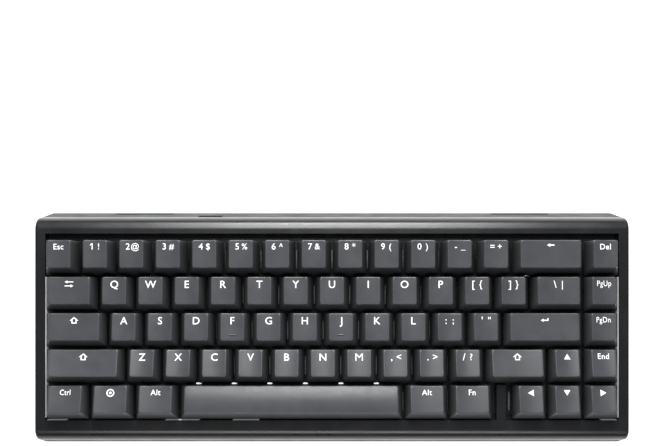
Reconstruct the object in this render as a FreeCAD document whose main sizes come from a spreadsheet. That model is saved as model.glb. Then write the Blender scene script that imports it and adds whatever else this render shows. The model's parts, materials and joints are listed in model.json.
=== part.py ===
"""Sixty-seven-key mechanical keyboard, as a parametric FreeCAD document (millimetres).

Everything above the case floor is designed in the deck frame: X to the right, Y away from the
typist, Z square to the switch plate, with Z = 0 on the plate's top face and the origin at the
middle of the home row. One bound placement, deck_frame, tilts the whole deck by the typing angle
and sets it on its pads, so that the finished keyboard stands on Z = 0, centred on X and Y.
Keys are named by what they do and are laid out in units of the key pitch.
"""

import FreeCAD
import Part
import math
import os

import PartDesign  # noqa: F401  registers the PartDesign object types
import Sketcher
from FreeCAD import Placement, Rotation, Vector

os.makedirs("parts", exist_ok=True)
doc = FreeCAD.newDocument("keyboard")

# ---------------------------------------------------------------------------------------------
# Driving dimensions. Each has an alias that expressions and this script both read.
# ---------------------------------------------------------------------------------------------
DIMENSIONS = [
    # key field
    ("key_pitch", 19.05, "centre to centre of neighbouring keys"),
    ("key_gap", 0.94, "gap between neighbouring skirts"),
    ("typing_angle", 6.0, "tilt of the deck, degrees"),
    ("travel", 4.0, "full key travel"),
    ("skirt_reserve", 2.1, "skirt's lower edge above the plate, key down"),
    # keycaps
    ("cap_narrowing", 5.7, "how much narrower the top is than the skirt"),
    ("cap_shortening", 3.7, "how much shorter the top is than the skirt"),
    ("cap_skew", 1.75, "how far the top leans to the back"),
    ("cap_wall", 1.5, "skirt wall"),
    ("cap_roof", 0.95, "roof thickness at the bottom of the dish"),
    ("dish_depth", 0.7, "sag of the finger dish"),
    ("dish_overrun", 0.4, "how far the dish's arc runs past the top's sides"),
    ("cap_edge", 0.45, "rounding of the top's edge"),
    ("cap_corner", 1.1, "rounding of the four slanted corners"),
    ("bar_length", 4.0, "homing bar on two of the home-row caps"),
    ("bar_height", 0.35, "homing bar above the dish"),
    ("crown_height", 1.1, "rise of the space bar's crowned top"),
    ("number_cap", 9.8, "height of a number-row cap"),
    ("upper_cap", 7.45, "height of an upper-row cap"),
    ("home_cap", 6.55, "height of a home-row cap"),
    ("lower_cap", 6.7, "height of a lower-row cap"),
    ("number_tilt", 0.0, "fall of the top to the back, degrees"),
    ("upper_tilt", 2.5, "fall of the top to the back, degrees"),
    ("home_tilt", 5.0, "fall of the top to the back, degrees"),
    ("lower_tilt", 11.5, "fall of the top to the back, degrees"),
    ("socket_play", 0.1, "gap round a stem socket in the window it dips into"),
    ("socket_inset", 0.6, "socket's mouth above the skirt's edge"),
    ("stud_clearance", 0.04, "gap round the cross in its socket"),
    # switches
    ("cutout", 14.0, "square hole in the plate for a switch"),
    ("housing_clearance", 0.03, "gap between housing and plate hole"),
    ("flange_lip", 0.8, "switch flange beyond its hole"),
    ("flange_height", 1.0, "flange above the plate"),
    ("housing_top_width", 9.6, "upper housing at its top, X"),
    ("housing_top_length", 8.8, "upper housing at its top, Y"),
    ("housing_height", 6.2, "upper housing above the plate"),
    ("housing_wall", 1.2, "housing wall"),
    ("board_gap", 5.0, "plate's top face down to the circuit board"),
    ("slider_width", 6.6, "slider, X"),
    ("slider_length", 5.4, "slider, Y"),
    ("slider_reserve", 1.4, "slider's lower end above the well's floor, key down"),
    ("slider_clearance", 0.2, "gap round the slider"),
    ("cross_height", 3.6, "length of the cross"),
    ("cross_width", 4.0, "span of the cross"),
    ("cross_thickness", 1.2, "blade of the cross"),
    ("spring_diameter", 4.2, "outside of the switch spring"),
    ("spring_wire", 0.35, "spring wire"),
    ("post_diameter", 3.9, "locating post under the housing"),
    ("post_length", 3.0, "locating post under the housing"),
    ("lamp_height", 1.2, "lamp, Z"),
    ("lamp_length", 3.2, "lamp, X"),
    ("lamp_width", 1.4, "lamp, Y"),
    ("lamp_setback", 5.6, "lamp in front of the key's middle"),
    # stabilisers
    ("near_stabiliser", 11.94, "stabiliser from the key's middle, 2 to 2.25 unit keys"),
    ("far_stabiliser", 50.0, "stabiliser from the key's middle, space bar"),
    ("stabiliser_wall", 0.6, "stabiliser housing beside its slider"),
    ("stabiliser_length", 11.0, "stabiliser housing, Y"),
    ("stabiliser_height", 4.4, "stabiliser housing above the plate"),
    ("stabiliser_slider", 5.0, "stabiliser slider, square"),
    ("stabiliser_lip", 0.6, "stabiliser flange beyond its housing, where there is room"),
    ("stabiliser_gap", 0.2, "least gap between the flanges of a stabiliser and a switch"),
    ("wire_diameter", 1.5, "stabiliser wire"),
    ("wire_gap", 0.05, "gap between the wire's long run and the switch flange"),
    ("wire_clearance", 0.3, "wire above the plate"),
    # plate and board
    ("plate_thickness", 1.5, "steel plate"),
    ("plate_margin", 1.6, "plate beyond the case opening"),
    ("plate_clearance", 0.25, "gap round the plate in the case"),
    ("board_thickness", 1.6, "circuit board"),
    ("board_margin", 1.6, "board inside the key field"),
    # case
    ("side_gap", 0.6, "key field to the opening, each side"),
    ("front_gap", 0.5, "key field to the opening, front"),
    ("back_gap", 3.9, "key field to the opening, back"),
    ("rim_side", 5.9, "rim at the sides"),
    ("rim_front", 9.8, "rim at the front"),
    ("rim_back", 7.7, "rim at the back"),
    ("rim_height", 5.0, "rim above the plate"),
    ("front_flare", 3.5, "front wall's lean out, rim to base"),
    ("back_flare", 7.0, "back wall's lean out, rim to base"),
    ("front_depth", 12.0, "base below the plate at the front"),
    ("rim_round_front", 6.0, "rounding of the front top edge"),
    ("rim_round_back", 7.0, "rounding of the back top edge"),
    ("side_round", 1.8, "rounding of the side top edges and corners"),
    ("case_wall", 2.4, "case wall"),
    ("parting_depth", 4.0, "parting line below the plate"),
    ("tongue_width", 5.7, "filler tongue beside the arrow keys"),
    # underside
    ("pad_height", 1.0, "rubber pad"),
    ("pad_length", 26.0, "rubber pad, X"),
    ("pad_width", 6.0, "rubber pad, Y"),
    ("front_pad_inset", 44.0, "front pad's middle in from the case's side"),
    ("back_pad_inset", 92.0, "back pad's middle in from the case's side"),
    ("pad_inset", 9.0, "rubber pad's middle inside the base's edge"),
    ("pad_recess", 0.6, "how deep a pad is let into the base"),
    ("foot_inset", 54.0, "flip foot's middle in from the case's side"),
    ("foot_wall", 1.5, "walls round a flip foot's bay"),
    ("foot_length", 26.0, "flip foot, X"),
    ("foot_reach", 15.0, "flip foot from its hinge to its tip"),
    ("foot_thickness", 4.0, "flip foot"),
    ("foot_clearance", 0.5, "gap round a flip foot in its recess"),
    ("foot_pin", 2.4, "flip foot hinge pin, diameter"),
    ("pin_clearance", 0.05, "radial gap round a hinge pin"),
    ("pin_length", 1.4, "hinge pin beyond the foot"),
    # fasteners and socket
    ("screw_inset", 22.0, "outer case screws in from the case's sides"),
    ("boss_wall", 1.1, "wall of a screw boss"),
    ("screw_land", 3.4, "plastic under a case screw's head"),
    ("screw_reach", 3.6, "case screw's length in the upper case"),
    ("case_screw", 2.5, "case screw shank"),
    ("case_screw_head", 4.4, "case screw head"),
    ("plate_screw", 2.0, "plate screw shank"),
    ("plate_screw_head", 3.3, "plate screw head"),
    ("screw_clearance", 0.1, "radial gap round a shank"),
    ("head_height", 1.3, "screw head"),
    ("standoff", 4.0, "post under the plate, diameter"),
    ("socket_width", 8.94, "charging socket shell, X"),
    ("socket_height", 3.2, "charging socket shell, Z"),
    ("socket_length", 7.4, "charging socket shell, Y"),
    ("port_width", 13.0, "plug recess in the case, X"),
    ("port_height", 6.9, "plug recess in the case, Z"),
    ("port_depth", 5.6, "plug recess in the case, Y"),
]

sheet = doc.addObject("Spreadsheet::Sheet", "dims")
for row, (alias, value, note) in enumerate(DIMENSIONS, start=1):
    sheet.set(f"A{row}", note)
    sheet.set(f"B{row}", str(value))
    sheet.setAlias(f"B{row}", alias)
doc.recompute()


def dim(alias):
    """The number in the sheet's cell of that name."""
    return float(sheet.get(alias))


# ---------------------------------------------------------------------------------------------
# Layout: each row's keys from left to right, in units, and the node that holds each key.
# A file limit keeps the nodes under sixty, so most letter and number keys share one in pairs.
# ---------------------------------------------------------------------------------------------
COLUMNS = 16
ROWS = [
    ("number", "esc 1|n1 1|n2 1|n3 1|n4 1|n5 1|n6 1|n7 1|n8 1|n9 1|n0 1|minus 1|equals 1|backspace 2|delete 1"),
    ("upper", "tab 1.5|q 1|w 1|e 1|r 1|t 1|y 1|u 1|i 1|o 1|p 1|left_bracket 1|right_bracket 1"
              "|backslash 1.5|page_up 1"),
    ("home", "caps_lock 1.75|a 1|s 1|d 1|f 1|g 1|h 1|j 1|k 1|l 1|semicolon 1|apostrophe 1|enter 2.25"
             "|page_down 1"),
    ("lower", "left_shift 2.25|z 1|x 1|c 1|v 1|b 1|n 1|m 1|comma 1|period 1|slash 1|right_shift 1.75"
              "|up 1|end 1"),
    ("space", "control 1.25|super 1.25|left_alt 1.25|space 6.25|right_alt 1.25|function 1.25|GAP 0.5"
              "|left 1|down 1|right 1"),
]
PAIRS = ("n1 n2|n3 n4|n5 n6|n7 n8|n9 n0|minus equals|q w|e r|t y|u i|o p|left_bracket right_bracket"
         "|a s|d f|g h|j k|l semicolon|z x|c v|b n|m comma|period slash"
         "|page_up page_down|left_alt right_alt")
PAIR_NODE = {key: "key_" + "_".join(pair.split()) for pair in PAIRS.split("|") for key in pair.split()}
HOMING = ("f", "j")
STABILISED = {"backspace": "near_stabiliser", "enter": "near_stabiliser",
              "left_shift": "near_stabiliser", "space": "far_stabiliser"}


class Key:
    """One key of the layout: where its middle lies, in units from the middle of the home row."""

    def __init__(self, name, profile, row, left, width):
        self.name = name
        self.profile = profile
        self.width = width
        self.across = left + width / 2 - COLUMNS / 2
        self.up = 2 - row
        self.node = PAIR_NODE.get(name, "key_" + name)


def lay_out():
    """All keys, and the gap beside the arrows, as lists."""
    keys, gaps = [], []
    for row, (profile, text) in enumerate(ROWS):
        left = 0.0
        for entry in text.split("|"):
            name, width = entry.split()
            key = Key(name, profile, row, left, float(width))
            (gaps if name == "GAP" else keys).append(key)
            left += float(width)
    return keys, gaps


KEYS, GAPS = lay_out()


# ---------------------------------------------------------------------------------------------
# Helpers. An expression names a cell as dims.ALIAS; D("ALIAS") writes that for short.
# ---------------------------------------------------------------------------------------------
# Sizes that follow from the cells above: a fit takes its size from the piece it fits.
DERIVED = {
    "skirt_height": "(travel + skirt_reserve)",
    "socket_diameter": "(slider_length + 2 * slider_clearance - 2 * socket_play)",
    "stabiliser_socket": "(stabiliser_slider + 2 * slider_clearance - 2 * socket_play)",
    "stabiliser_width": "(stabiliser_slider + 2 * slider_clearance + 2 * stabiliser_wall)",
    "flange": "(cutout + 2 * flange_lip)",
    "guide_lip": "min(stabiliser_lip; near_stabiliser - stabiliser_width / 2 - flange / 2 - stabiliser_gap)",
    "wire_setback": "(cutout / 2 + flange_lip + wire_diameter / 2 + wire_gap)",
    "slider_bottom": "(travel + slider_reserve + housing_wall - board_gap)",
}
NAMES = {alias: "dims." + alias for alias, _, _ in DIMENSIONS}


def D(text):
    """The text with every alias written as its cell, and every derived size as its formula."""
    out, word = "", ""
    for letter in text + " ":
        if letter.isalnum() or letter == "_":
            word += letter
        else:
            out += (D(DERIVED[word]) if word in DERIVED else NAMES.get(word, word)) + letter
            word = ""
    return out.strip()


def bind(thing, **properties):
    """Binds properties to expressions. An underscore pair stands for a dot in the property's path."""
    for path, text in properties.items():
        thing.setExpression(path.replace("__", "."), D(str(text)))
    return thing


def value(text):
    """The number that an expression of sheet cells has, in millimetres."""
    probe = doc.getObject("probe") or doc.addObject("App::FeaturePython", "probe")
    if "result" not in probe.PropertiesList:
        probe.addProperty("App::PropertyFloat", "result")
    probe.setExpression("result", D(text))
    doc.recompute()
    return probe.result


def box(name, low, size):
    """A box by its lowest corner and its size, each three expressions."""
    b = doc.addObject("Part::Box", name)
    bind(b, Length=size[0], Width=size[1], Height=size[2])
    bind(b, Placement__Base__x=low[0], Placement__Base__y=low[1], Placement__Base__z=low[2])
    return b


def cylinder(name, middle, low, diameter, height):
    """An upright cylinder by its axis, its lower end, its diameter and its height."""
    c = doc.addObject("Part::Cylinder", name)
    bind(c, Radius=f"({diameter}) / 2", Height=height)
    bind(c, Placement__Base__x=middle[0], Placement__Base__y=middle[1], Placement__Base__z=low)
    return c


def taper(name, middle, low, high, foot, head, lean="0"):
    """A four-sided frustum: foot and head are (X size, Y size); lean moves the head to the back."""
    w = doc.addObject("Part::Wedge", name)
    bind(w, Ymin="0", Ymax=f"({high}) - ({low})")
    bind(w, Xmin=f"-({foot[0]}) / 2", Xmax=f"({foot[0]}) / 2", Zmin=f"-({foot[1]}) / 2", Zmax=f"({foot[1]}) / 2")
    bind(w, X2min=f"-({head[0]}) / 2", X2max=f"({head[0]}) / 2")
    bind(w, Z2min=f"-({head[1]}) / 2 - ({lean})", Z2max=f"({head[1]}) / 2 - ({lean})")
    w.Placement = Placement(Vector(), Rotation(Vector(1, 0, 0), 90))
    bind(w, Placement__Base__x=middle[0], Placement__Base__y=middle[1], Placement__Base__z=low)
    return w


def fuse(name, *shapes):
    """All shapes as one solid."""
    f = doc.addObject("Part::MultiFuse", name)
    f.Shapes = list(shapes)
    return f


def cut(name, base, *tools):
    """base with every tool taken away."""
    c = doc.addObject("Part::Cut", name)
    c.Base = base
    c.Tool = tools[0] if len(tools) == 1 else group(name + "_tools", *tools)
    return c


def group(name, *shapes):
    """Shapes kept as separate solids of one object."""
    g = doc.addObject("Part::Compound", name)
    g.Links = list(shapes)
    return g


def copy(name, master, across="0", up="0", height="0"):
    """A linked copy of a master, moved to a place."""
    link = doc.addObject("App::Link", name)
    link.LinkedObject = master
    link.LinkTransform = False
    bind(link, Placement__Base__x=across, Placement__Base__y=up, Placement__Base__z=height)
    return link


def at_key(name, master, key, aside="0"):
    """A linked copy of a master at a key's middle, moved aside along X."""
    return copy(name, master, f"{key.across} * key_pitch + ({aside})", f"{key.up} * key_pitch")


def body_sketch(body, name, plane, offset=None):
    """A sketch on one of the body's own origin planes, moved by offset in that plane's axes."""
    drawn = body.newObject("Sketcher::SketchObject", name)
    face = next(f for f in body.Origin.OriginFeatures if f.Role == plane)
    drawn.AttachmentSupport = [(face, "")]
    drawn.MapMode = "FlatFace"
    if offset is not None:
        drawn.AttachmentOffset = offset
    return drawn


def rectangle(drawn, width, length):
    """A rectangle centred on the sketch's origin, its two sizes bound to expressions."""
    corners = [Vector(-5, -5, 0), Vector(5, -5, 0), Vector(5, 5, 0), Vector(-5, 5, 0)]
    for n in range(4):
        drawn.addGeometry(Part.LineSegment(corners[n], corners[(n + 1) % 4]), False)
    for n in range(4):
        drawn.addConstraint(Sketcher.Constraint("Coincident", n, 2, (n + 1) % 4, 1))
    for n in (0, 2):
        drawn.addConstraint(Sketcher.Constraint("Horizontal", n))
    for n in (1, 3):
        drawn.addConstraint(Sketcher.Constraint("Vertical", n))
    drawn.addConstraint(Sketcher.Constraint("Symmetric", 0, 1, 1, 2, -1, 1))
    across = drawn.addConstraint(Sketcher.Constraint("DistanceX", 0, 1, 0, 2, 10))
    along = drawn.addConstraint(Sketcher.Constraint("DistanceY", 1, 1, 1, 2, 10))
    drawn.setExpression(f"Constraints[{across}]", D(width))
    drawn.setExpression(f"Constraints[{along}]", D(length))
    return drawn


def rounded_rectangle(drawn, width, length, radius):
    """A centred rectangle with rounded corners, its two sizes and its radius bound to expressions."""
    x, y, r = value(width) / 2, value(length) / 2, value(radius)
    lines = [
        (Vector(-x + r, -y, 0), Vector(x - r, -y, 0)),
        (Vector(x, -y + r, 0), Vector(x, y - r, 0)),
        (Vector(x - r, y, 0), Vector(-x + r, y, 0)),
        (Vector(-x, y - r, 0), Vector(-x, -y + r, 0)),
    ]
    for line in lines:
        drawn.addGeometry(Part.LineSegment(*line), False)
    middles = [Vector(x - r, -y + r, 0), Vector(x - r, y - r, 0), Vector(-x + r, y - r, 0), Vector(-x + r, -y + r, 0)]
    for n, middle in enumerate(middles):
        start = (n - 1) * math.pi / 2
        drawn.addGeometry(Part.ArcOfCircle(Part.Circle(middle, Vector(0, 0, 1), r), start, start + math.pi / 2), False)
    for n in range(4):
        drawn.addConstraint(Sketcher.Constraint("Tangent", n, 2, 4 + n, 1))
        drawn.addConstraint(Sketcher.Constraint("Tangent", 4 + n, 2, (n + 1) % 4, 1))
    drawn.addConstraint(Sketcher.Constraint("Horizontal", 0))
    drawn.addConstraint(Sketcher.Constraint("Vertical", 1))
    drawn.addConstraint(Sketcher.Constraint("Symmetric", 4, 3, 6, 3, -1, 1))
    for n in (5, 6, 7):
        drawn.addConstraint(Sketcher.Constraint("Equal", 4, n))
    for kind, place, expression, number in (
        ("Radius", (4,), radius, r),
        ("DistanceX", (3, 2, 1, 1), width, 2 * x),
        ("DistanceY", (0, 1, 2, 2), length, 2 * y),
    ):
        made = drawn.addConstraint(Sketcher.Constraint(kind, *place, number))
        drawn.setExpression(f"Constraints[{made}]", D(expression))
    return drawn


def edges_where(feature, test):
    """Names of the feature's edges whose ends and middle all pass the test."""
    found = []
    for n, edge in enumerate(feature.Shape.Edges, start=1):
        middle = edge.valueAt((edge.FirstParameter + edge.LastParameter) / 2)
        if all(test(p) for p in [v.Point for v in edge.Vertexes] + [middle]):
            found.append(f"Edge{n}")
    return found


def fillet(body, name, base, edges, radius):
    """A fillet on named edges, its radius bound to an expression."""
    rounding = body.newObject("PartDesign::Fillet", name)
    rounding.Base = (base, edges)
    bind(rounding, Radius=radius)
    doc.recompute()
    return rounding


# ---------------------------------------------------------------------------------------------
# Keycaps
# ---------------------------------------------------------------------------------------------
def cap_top(profile, drop="0"):
    """The plane of a cap's top edge, lowered by drop, as an attachment offset's expressions."""
    row = "lower" if profile == "space" else profile
    return {
        "AttachmentOffset__Base__y": "cap_skew",
        "AttachmentOffset__Base__z": f"skirt_height + {row}_cap - ({drop})",
        "AttachmentOffset__Rotation__Angle": f"-{row}_tilt",
    }


def cap_master(profile, width, barred=False):
    """One keycap over the origin: a loft from skirt to tilted top, dished, rounded, hollowed, with a cross socket."""
    tag = f"{profile}_{str(width).replace('.', '_')}u" + ("_barred" if barred else "")
    body = doc.addObject("PartDesign::Body", "cap_" + tag)
    crowned = profile == "space" and width > 2
    foot = f"{width} * key_pitch - key_gap"
    depth = "key_pitch - key_gap"
    tilt = Placement(Vector(), Rotation(Vector(1, 0, 0), -1))

    def loft(kind, name, inset, drop, low):
        """A loft between the skirt's rectangle and the top's, both pulled in by inset."""
        lower = body_sketch(body, f"{name}_foot_{tag}", "XY_Plane", Placement())
        bind(lower, AttachmentOffset__Base__z=low)
        corner = f"(cap_corner - {inset} / 3)"
        rounded_rectangle(lower, f"{foot} - 2 * {inset}", f"{depth} - 2 * {inset}", f"{corner} * 0.8")
        upper = body_sketch(body, f"{name}_head_{tag}", "XY_Plane", tilt)
        bind(upper, **cap_top(profile, drop))
        rounded_rectangle(upper, f"{foot} - cap_narrowing - 2 * {inset}", f"{depth} - cap_shortening - 2 * {inset}", corner)
        made = body.newObject(kind, f"{name}_{tag}")
        made.Profile = lower
        made.Sections = [upper]
        made.Ruled = True
        doc.recompute()
        return made

    loft("PartDesign::AdditiveLoft", "skin", "0", "0", "skirt_height")
    top = crown(body, tag) if crowned else dish(body, tag, profile, foot)
    base = value("skirt_height")
    rim = edges_where(top, lambda p: p.z > base + 2.0)
    sloping = [
        name for name in rim
        if abs(top.Shape.getElement(name).Vertexes[0].Z - top.Shape.getElement(name).Vertexes[-1].Z) < 3.1
    ]
    fillet(body, f"edge_{tag}", top, sloping, "cap_edge")
    hollow_drop = "crown_height + cap_roof" if crowned else "dish_depth + cap_roof"
    loft("PartDesign::SubtractiveLoft", "hollow", "cap_wall", hollow_drop, "skirt_height")
    row = "lower" if profile == "space" else profile
    roof = f"skirt_height + {row}_cap - dish_depth - cap_roof / 2"
    sockets = [("0", "middle", "socket_diameter")]
    if width >= 2:
        reach = "far_stabiliser" if crowned else "near_stabiliser"
        sockets += [(f"-{reach}", "left", "stabiliser_socket"), (reach, "right", "stabiliser_socket")]
    fused = [body]
    bores = []
    if barred:
        ahead = f"(key_pitch / 2 - key_gap / 2 - cap_shortening / 2 - 2.6)"
        surface = f"(skirt_height + {row}_cap - dish_depth + {ahead} * tan({row}_tilt * 1deg))"
        fused.append(box(f"homing_bar_{tag}", ("-bar_length / 2", f"cap_skew - {ahead}", f"{surface} - 0.5"),
                         ("bar_length", "0.8", "0.5 + bar_height")))
    for place, side, across in sockets:
        low = "skirt_height + socket_inset"
        fused.append(cylinder(f"socket_{side}_{tag}", (place, "0"), low, across, f"{roof} - ({low})"))
        bores += cross(f"bore_{side}_{tag}", place, f"{low} - 1", "cross_height + 1.2", "stud_clearance")
    return cut(f"keycap_{tag}", fuse(f"cap_with_sockets_{tag}", *fused), *bores)


def dish(body, tag, profile, foot):
    """A cylindrical finger dish, its axis running front to back in the plane of the top."""
    row = "lower" if profile == "space" else profile
    drawn = body_sketch(body, f"dish_circle_{tag}", "XZ_Plane", Placement(Vector(), Rotation(Vector(1, 0, 0), -1)))
    bind(drawn, AttachmentOffset__Base__y=f"skirt_height + {row}_cap")
    bind(drawn, AttachmentOffset__Base__z="-cap_skew", AttachmentOffset__Rotation__Angle=f"-{row}_tilt")
    drawn.addGeometry(Part.Circle(Vector(0, 30, 0), Vector(0, 0, 1), 30), False)
    drawn.addConstraint(Sketcher.Constraint("PointOnObject", 0, 3, -2))
    reach = f"(({foot} - cap_narrowing) / 2 + dish_overrun)"
    radius = f"({reach} ^ 2 + dish_depth ^ 2) / (2 * dish_depth)"
    size = drawn.addConstraint(Sketcher.Constraint("Radius", 0, 30))
    drawn.setExpression(f"Constraints[{size}]", D(radius))
    rise = drawn.addConstraint(Sketcher.Constraint("DistanceY", -1, 1, 0, 3, 30))
    drawn.setExpression(f"Constraints[{rise}]", D(f"{radius} - dish_depth"))
    pocket = body.newObject("PartDesign::Pocket", f"dish_{tag}")
    pocket.Profile = drawn
    pocket.Type = "ThroughAll"
    pocket.Midplane = True
    doc.recompute()
    return pocket


def crown(body, tag):
    """The space bar's top, arched from front to back: everything over an arc is taken away."""
    drawn = body_sketch(body, f"crown_arc_{tag}", "YZ_Plane", Placement(Vector(), Rotation(Vector(0, 0, 1), -1)))
    bind(drawn, AttachmentOffset__Base__x="cap_skew", AttachmentOffset__Base__y="skirt_height + lower_cap",
         AttachmentOffset__Rotation__Angle="-lower_tilt")
    half = dim("key_pitch") / 2
    drop = dim("crown_height")
    big = (half ** 2 + drop ** 2) / (2 * drop)
    spread = math.asin(half / big)
    circle = Part.Circle(Vector(0, -big, 0), Vector(0, 0, 1), big)
    drawn.addGeometry(Part.ArcOfCircle(circle, math.pi / 2 - spread, math.pi / 2 + spread), False)
    corners = [Vector(half, -drop, 0), Vector(half, 10, 0), Vector(-half, 10, 0), Vector(-half, -drop, 0)]
    for n in range(3):
        drawn.addGeometry(Part.LineSegment(corners[n], corners[n + 1]), False)
    for first, at_first, second, at_second in ((0, 1, 1, 1), (1, 2, 2, 1), (2, 2, 3, 1), (3, 2, 0, 2)):
        drawn.addConstraint(Sketcher.Constraint("Coincident", first, at_first, second, at_second))
    drawn.addConstraint(Sketcher.Constraint("Vertical", 1))
    drawn.addConstraint(Sketcher.Constraint("Vertical", 3))
    drawn.addConstraint(Sketcher.Constraint("Horizontal", 2))
    drawn.addConstraint(Sketcher.Constraint("PointOnObject", 0, 3, -2))
    radius = "(key_pitch ^ 2 / 4 + crown_height ^ 2) / (2 * crown_height)"
    for kind, place, expression, number in (
        ("Radius", (0,), radius, big),
        ("DistanceY", (0, 3, -1, 1), radius, big),
        ("DistanceX", (-1, 1, 1, 1), "key_pitch / 2", half),
        ("DistanceX", (3, 2, -1, 1), "key_pitch / 2", half),
        ("DistanceY", (-1, 1, 1, 2), "10", 10),
    ):
        made = drawn.addConstraint(Sketcher.Constraint(kind, *place, number))
        drawn.setExpression(f"Constraints[{made}]", D(expression))
    pocket = body.newObject("PartDesign::Pocket", f"crown_{tag}")
    pocket.Profile = drawn
    pocket.Type = "ThroughAll"
    pocket.Midplane = True
    doc.recompute()
    return pocket


def cross(name, aside, low, height, clearance="0"):
    """The two crossed blades of a stem, or of its socket when it has a clearance."""
    span = f"(cross_width + 2 * ({clearance}))"
    blade = f"(cross_thickness + 2 * ({clearance}))"
    return [
        box(f"{name}_{way}", (f"({aside}) - {x} / 2", f"-{y} / 2", low), (x, y, height))
        for way, x, y in (("x", span, blade), ("y", blade, span))
    ]


# ---------------------------------------------------------------------------------------------
# Switch: lower housing, upper housing, slider and spring
# ---------------------------------------------------------------------------------------------
SHOULDER = "skirt_height + socket_inset - 0.05"  # the slider's shoulder, where the socket's mouth rests


def lower_housing():
    """Body through the plate, flange on it, locating post under it, and a well for slider and spring."""
    side = "(cutout - 2 * housing_clearance)"
    trunk = box("housing_trunk", (f"-{side} / 2", f"-{side} / 2", "-board_gap"), (side, side, "board_gap"))
    rim = box("housing_flange", ("-flange / 2", "-flange / 2", "0"), ("flange", "flange", "flange_height"))
    post = cylinder("housing_post", ("0", "0"), "-board_gap - post_length", "post_diameter", "post_length + 1")
    well_x = "(slider_width + 3)"
    well_y = "(slider_length + 3)"
    floor = "(-board_gap + housing_wall)"
    well = box("housing_well", (f"-{well_x} / 2", f"-{well_y} / 2", floor), (well_x, well_y, f"flange_height - {floor}"))
    shaft = box("lamp_shaft", lamp_low("0.1", "-board_gap - 1"), lamp_size("0.1", "board_gap + 1 + flange_height + 1"))
    return cut("lower_housing", fuse("housing_solid", trunk, rim, post), well, shaft)


def lamp_low(grow, low):
    """The lowest corner of a lamp, grown on every side, under the front of its switch."""
    return (f"-lamp_length / 2 - {grow}", f"-lamp_setback - lamp_width / 2 - {grow}", low)


def lamp_size(grow, height):
    """A lamp's size, grown on every side."""
    return (f"lamp_length + 2 * {grow}", f"lamp_width + 2 * {grow}", height)


def upper_housing():
    """Tapered cover with a window for the slider and a slot in front for the lamp's light."""
    foot = ("(cutout)", "(cutout)")
    head = ("housing_top_width", "housing_top_length")
    shell = taper("cover_skin", ("0", "0"), "flange_height", "housing_height", foot, head)
    less = "2 * housing_wall"
    room = taper("cover_room", ("0", "0"), "flange_height", "housing_height - housing_wall",
                 (f"{foot[0]} - {less}", f"{foot[1]} - {less}"), (f"{head[0]} - {less}", f"{head[1]} - {less}"))
    hole_x = "(slider_width + 2 * slider_clearance)"
    hole_y = "(slider_length + 2 * slider_clearance)"
    window = box("cover_window", (f"-{hole_x} / 2", f"-{hole_y} / 2", "flange_height"), (hole_x, hole_y, "housing_height"))
    shaft = box("cover_shaft", lamp_low("0.1", "flange_height - 1"), lamp_size("0.1", "housing_height"))
    return cut("upper_housing", shell, room, window, shaft)


def slider():
    """Slider body with a spring bore below and the cross that the keycap presses onto."""
    block = box("slider_body", ("-slider_width / 2", "-slider_length / 2", "slider_bottom"),
                ("slider_width", "slider_length", f"{SHOULDER} - slider_bottom"))
    blades = cross("slider_cross", "0", f"{SHOULDER} - 0.5", "cross_height + 0.5")
    bore = cylinder("slider_bore", ("0", "0"), "slider_bottom", "spring_diameter + 0.3", "3.4")
    return cut("switch_slider", fuse("slider_solid", block, *blades), bore)


def spring():
    """The return spring, wound from square wire, from the well's floor to the top of the slider's bore."""
    body = doc.addObject("PartDesign::Body", "spring_body")
    low = "-board_gap + housing_wall + spring_wire / 2"
    drawn = body_sketch(body, "spring_section", "XZ_Plane", Placement())
    bind(drawn, AttachmentOffset__Base__x="(spring_diameter - spring_wire) / 2", AttachmentOffset__Base__y=low)
    rectangle(drawn, "spring_wire", "spring_wire")
    doc.recompute()
    coil = body.newObject("PartDesign::AdditiveHelix", "spring_coil")
    coil.Profile = drawn
    axis = next(f for f in body.Origin.OriginFeatures if f.Role == "Z_Axis")
    coil.ReferenceAxis = (axis, [""])
    coil.Mode = "height-turns-angle"
    coil.Turns = 4
    coil.Angle = 0
    bind(coil, Height="board_gap - housing_wall - spring_wire + slider_bottom + 3.38")
    doc.recompute()
    return body


# ---------------------------------------------------------------------------------------------
# Stabilisers
# ---------------------------------------------------------------------------------------------
def stabiliser_housing():
    """A clip-in guide with a square well for its slider and a slot in front for the wire."""
    low = "-board_gap + 0.4"
    tall = f"stabiliser_height - ({low})"
    block = box("guide_block", ("-stabiliser_width / 2", "-stabiliser_length / 2", low),
                ("stabiliser_width", "stabiliser_length", tall))
    wings = box("guide_flange", ("-stabiliser_width / 2 - guide_lip", "-stabiliser_length / 2 - guide_lip", "0"),
                ("stabiliser_width + 2 * guide_lip", "stabiliser_length + 2 * guide_lip", "0.8"))
    well = "(stabiliser_slider + 2 * slider_clearance)"
    room = box("guide_well", (f"-{well} / 2", f"-{well} / 2", "-board_gap + 0.8"), (well, well, "30"))
    slot = box("guide_slot", ("-stabiliser_width / 2 - 1", "-stabiliser_length / 2 - 1", "wire_clearance"),
               ("stabiliser_width / 2 + 1 + wire_diameter / 2 + 0.2", "stabiliser_length / 2 + 1 - stabiliser_slider / 2",
                "wire_diameter + 0.9"))
    return cut("stabiliser_housing", fuse("guide_solid", block, wings), room, slot)


def stabiliser_slider():
    """The sliding post that carries one end of a long key."""
    post = box("guide_slider_body", ("-stabiliser_slider / 2", "-stabiliser_slider / 2", "0.2"),
               ("stabiliser_slider", "stabiliser_slider", f"{SHOULDER} - 0.2"))
    return fuse("stabiliser_slider_part", post, *cross("guide_cross", "0", f"{SHOULDER} - 0.5", "cross_height + 0.5"))


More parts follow.
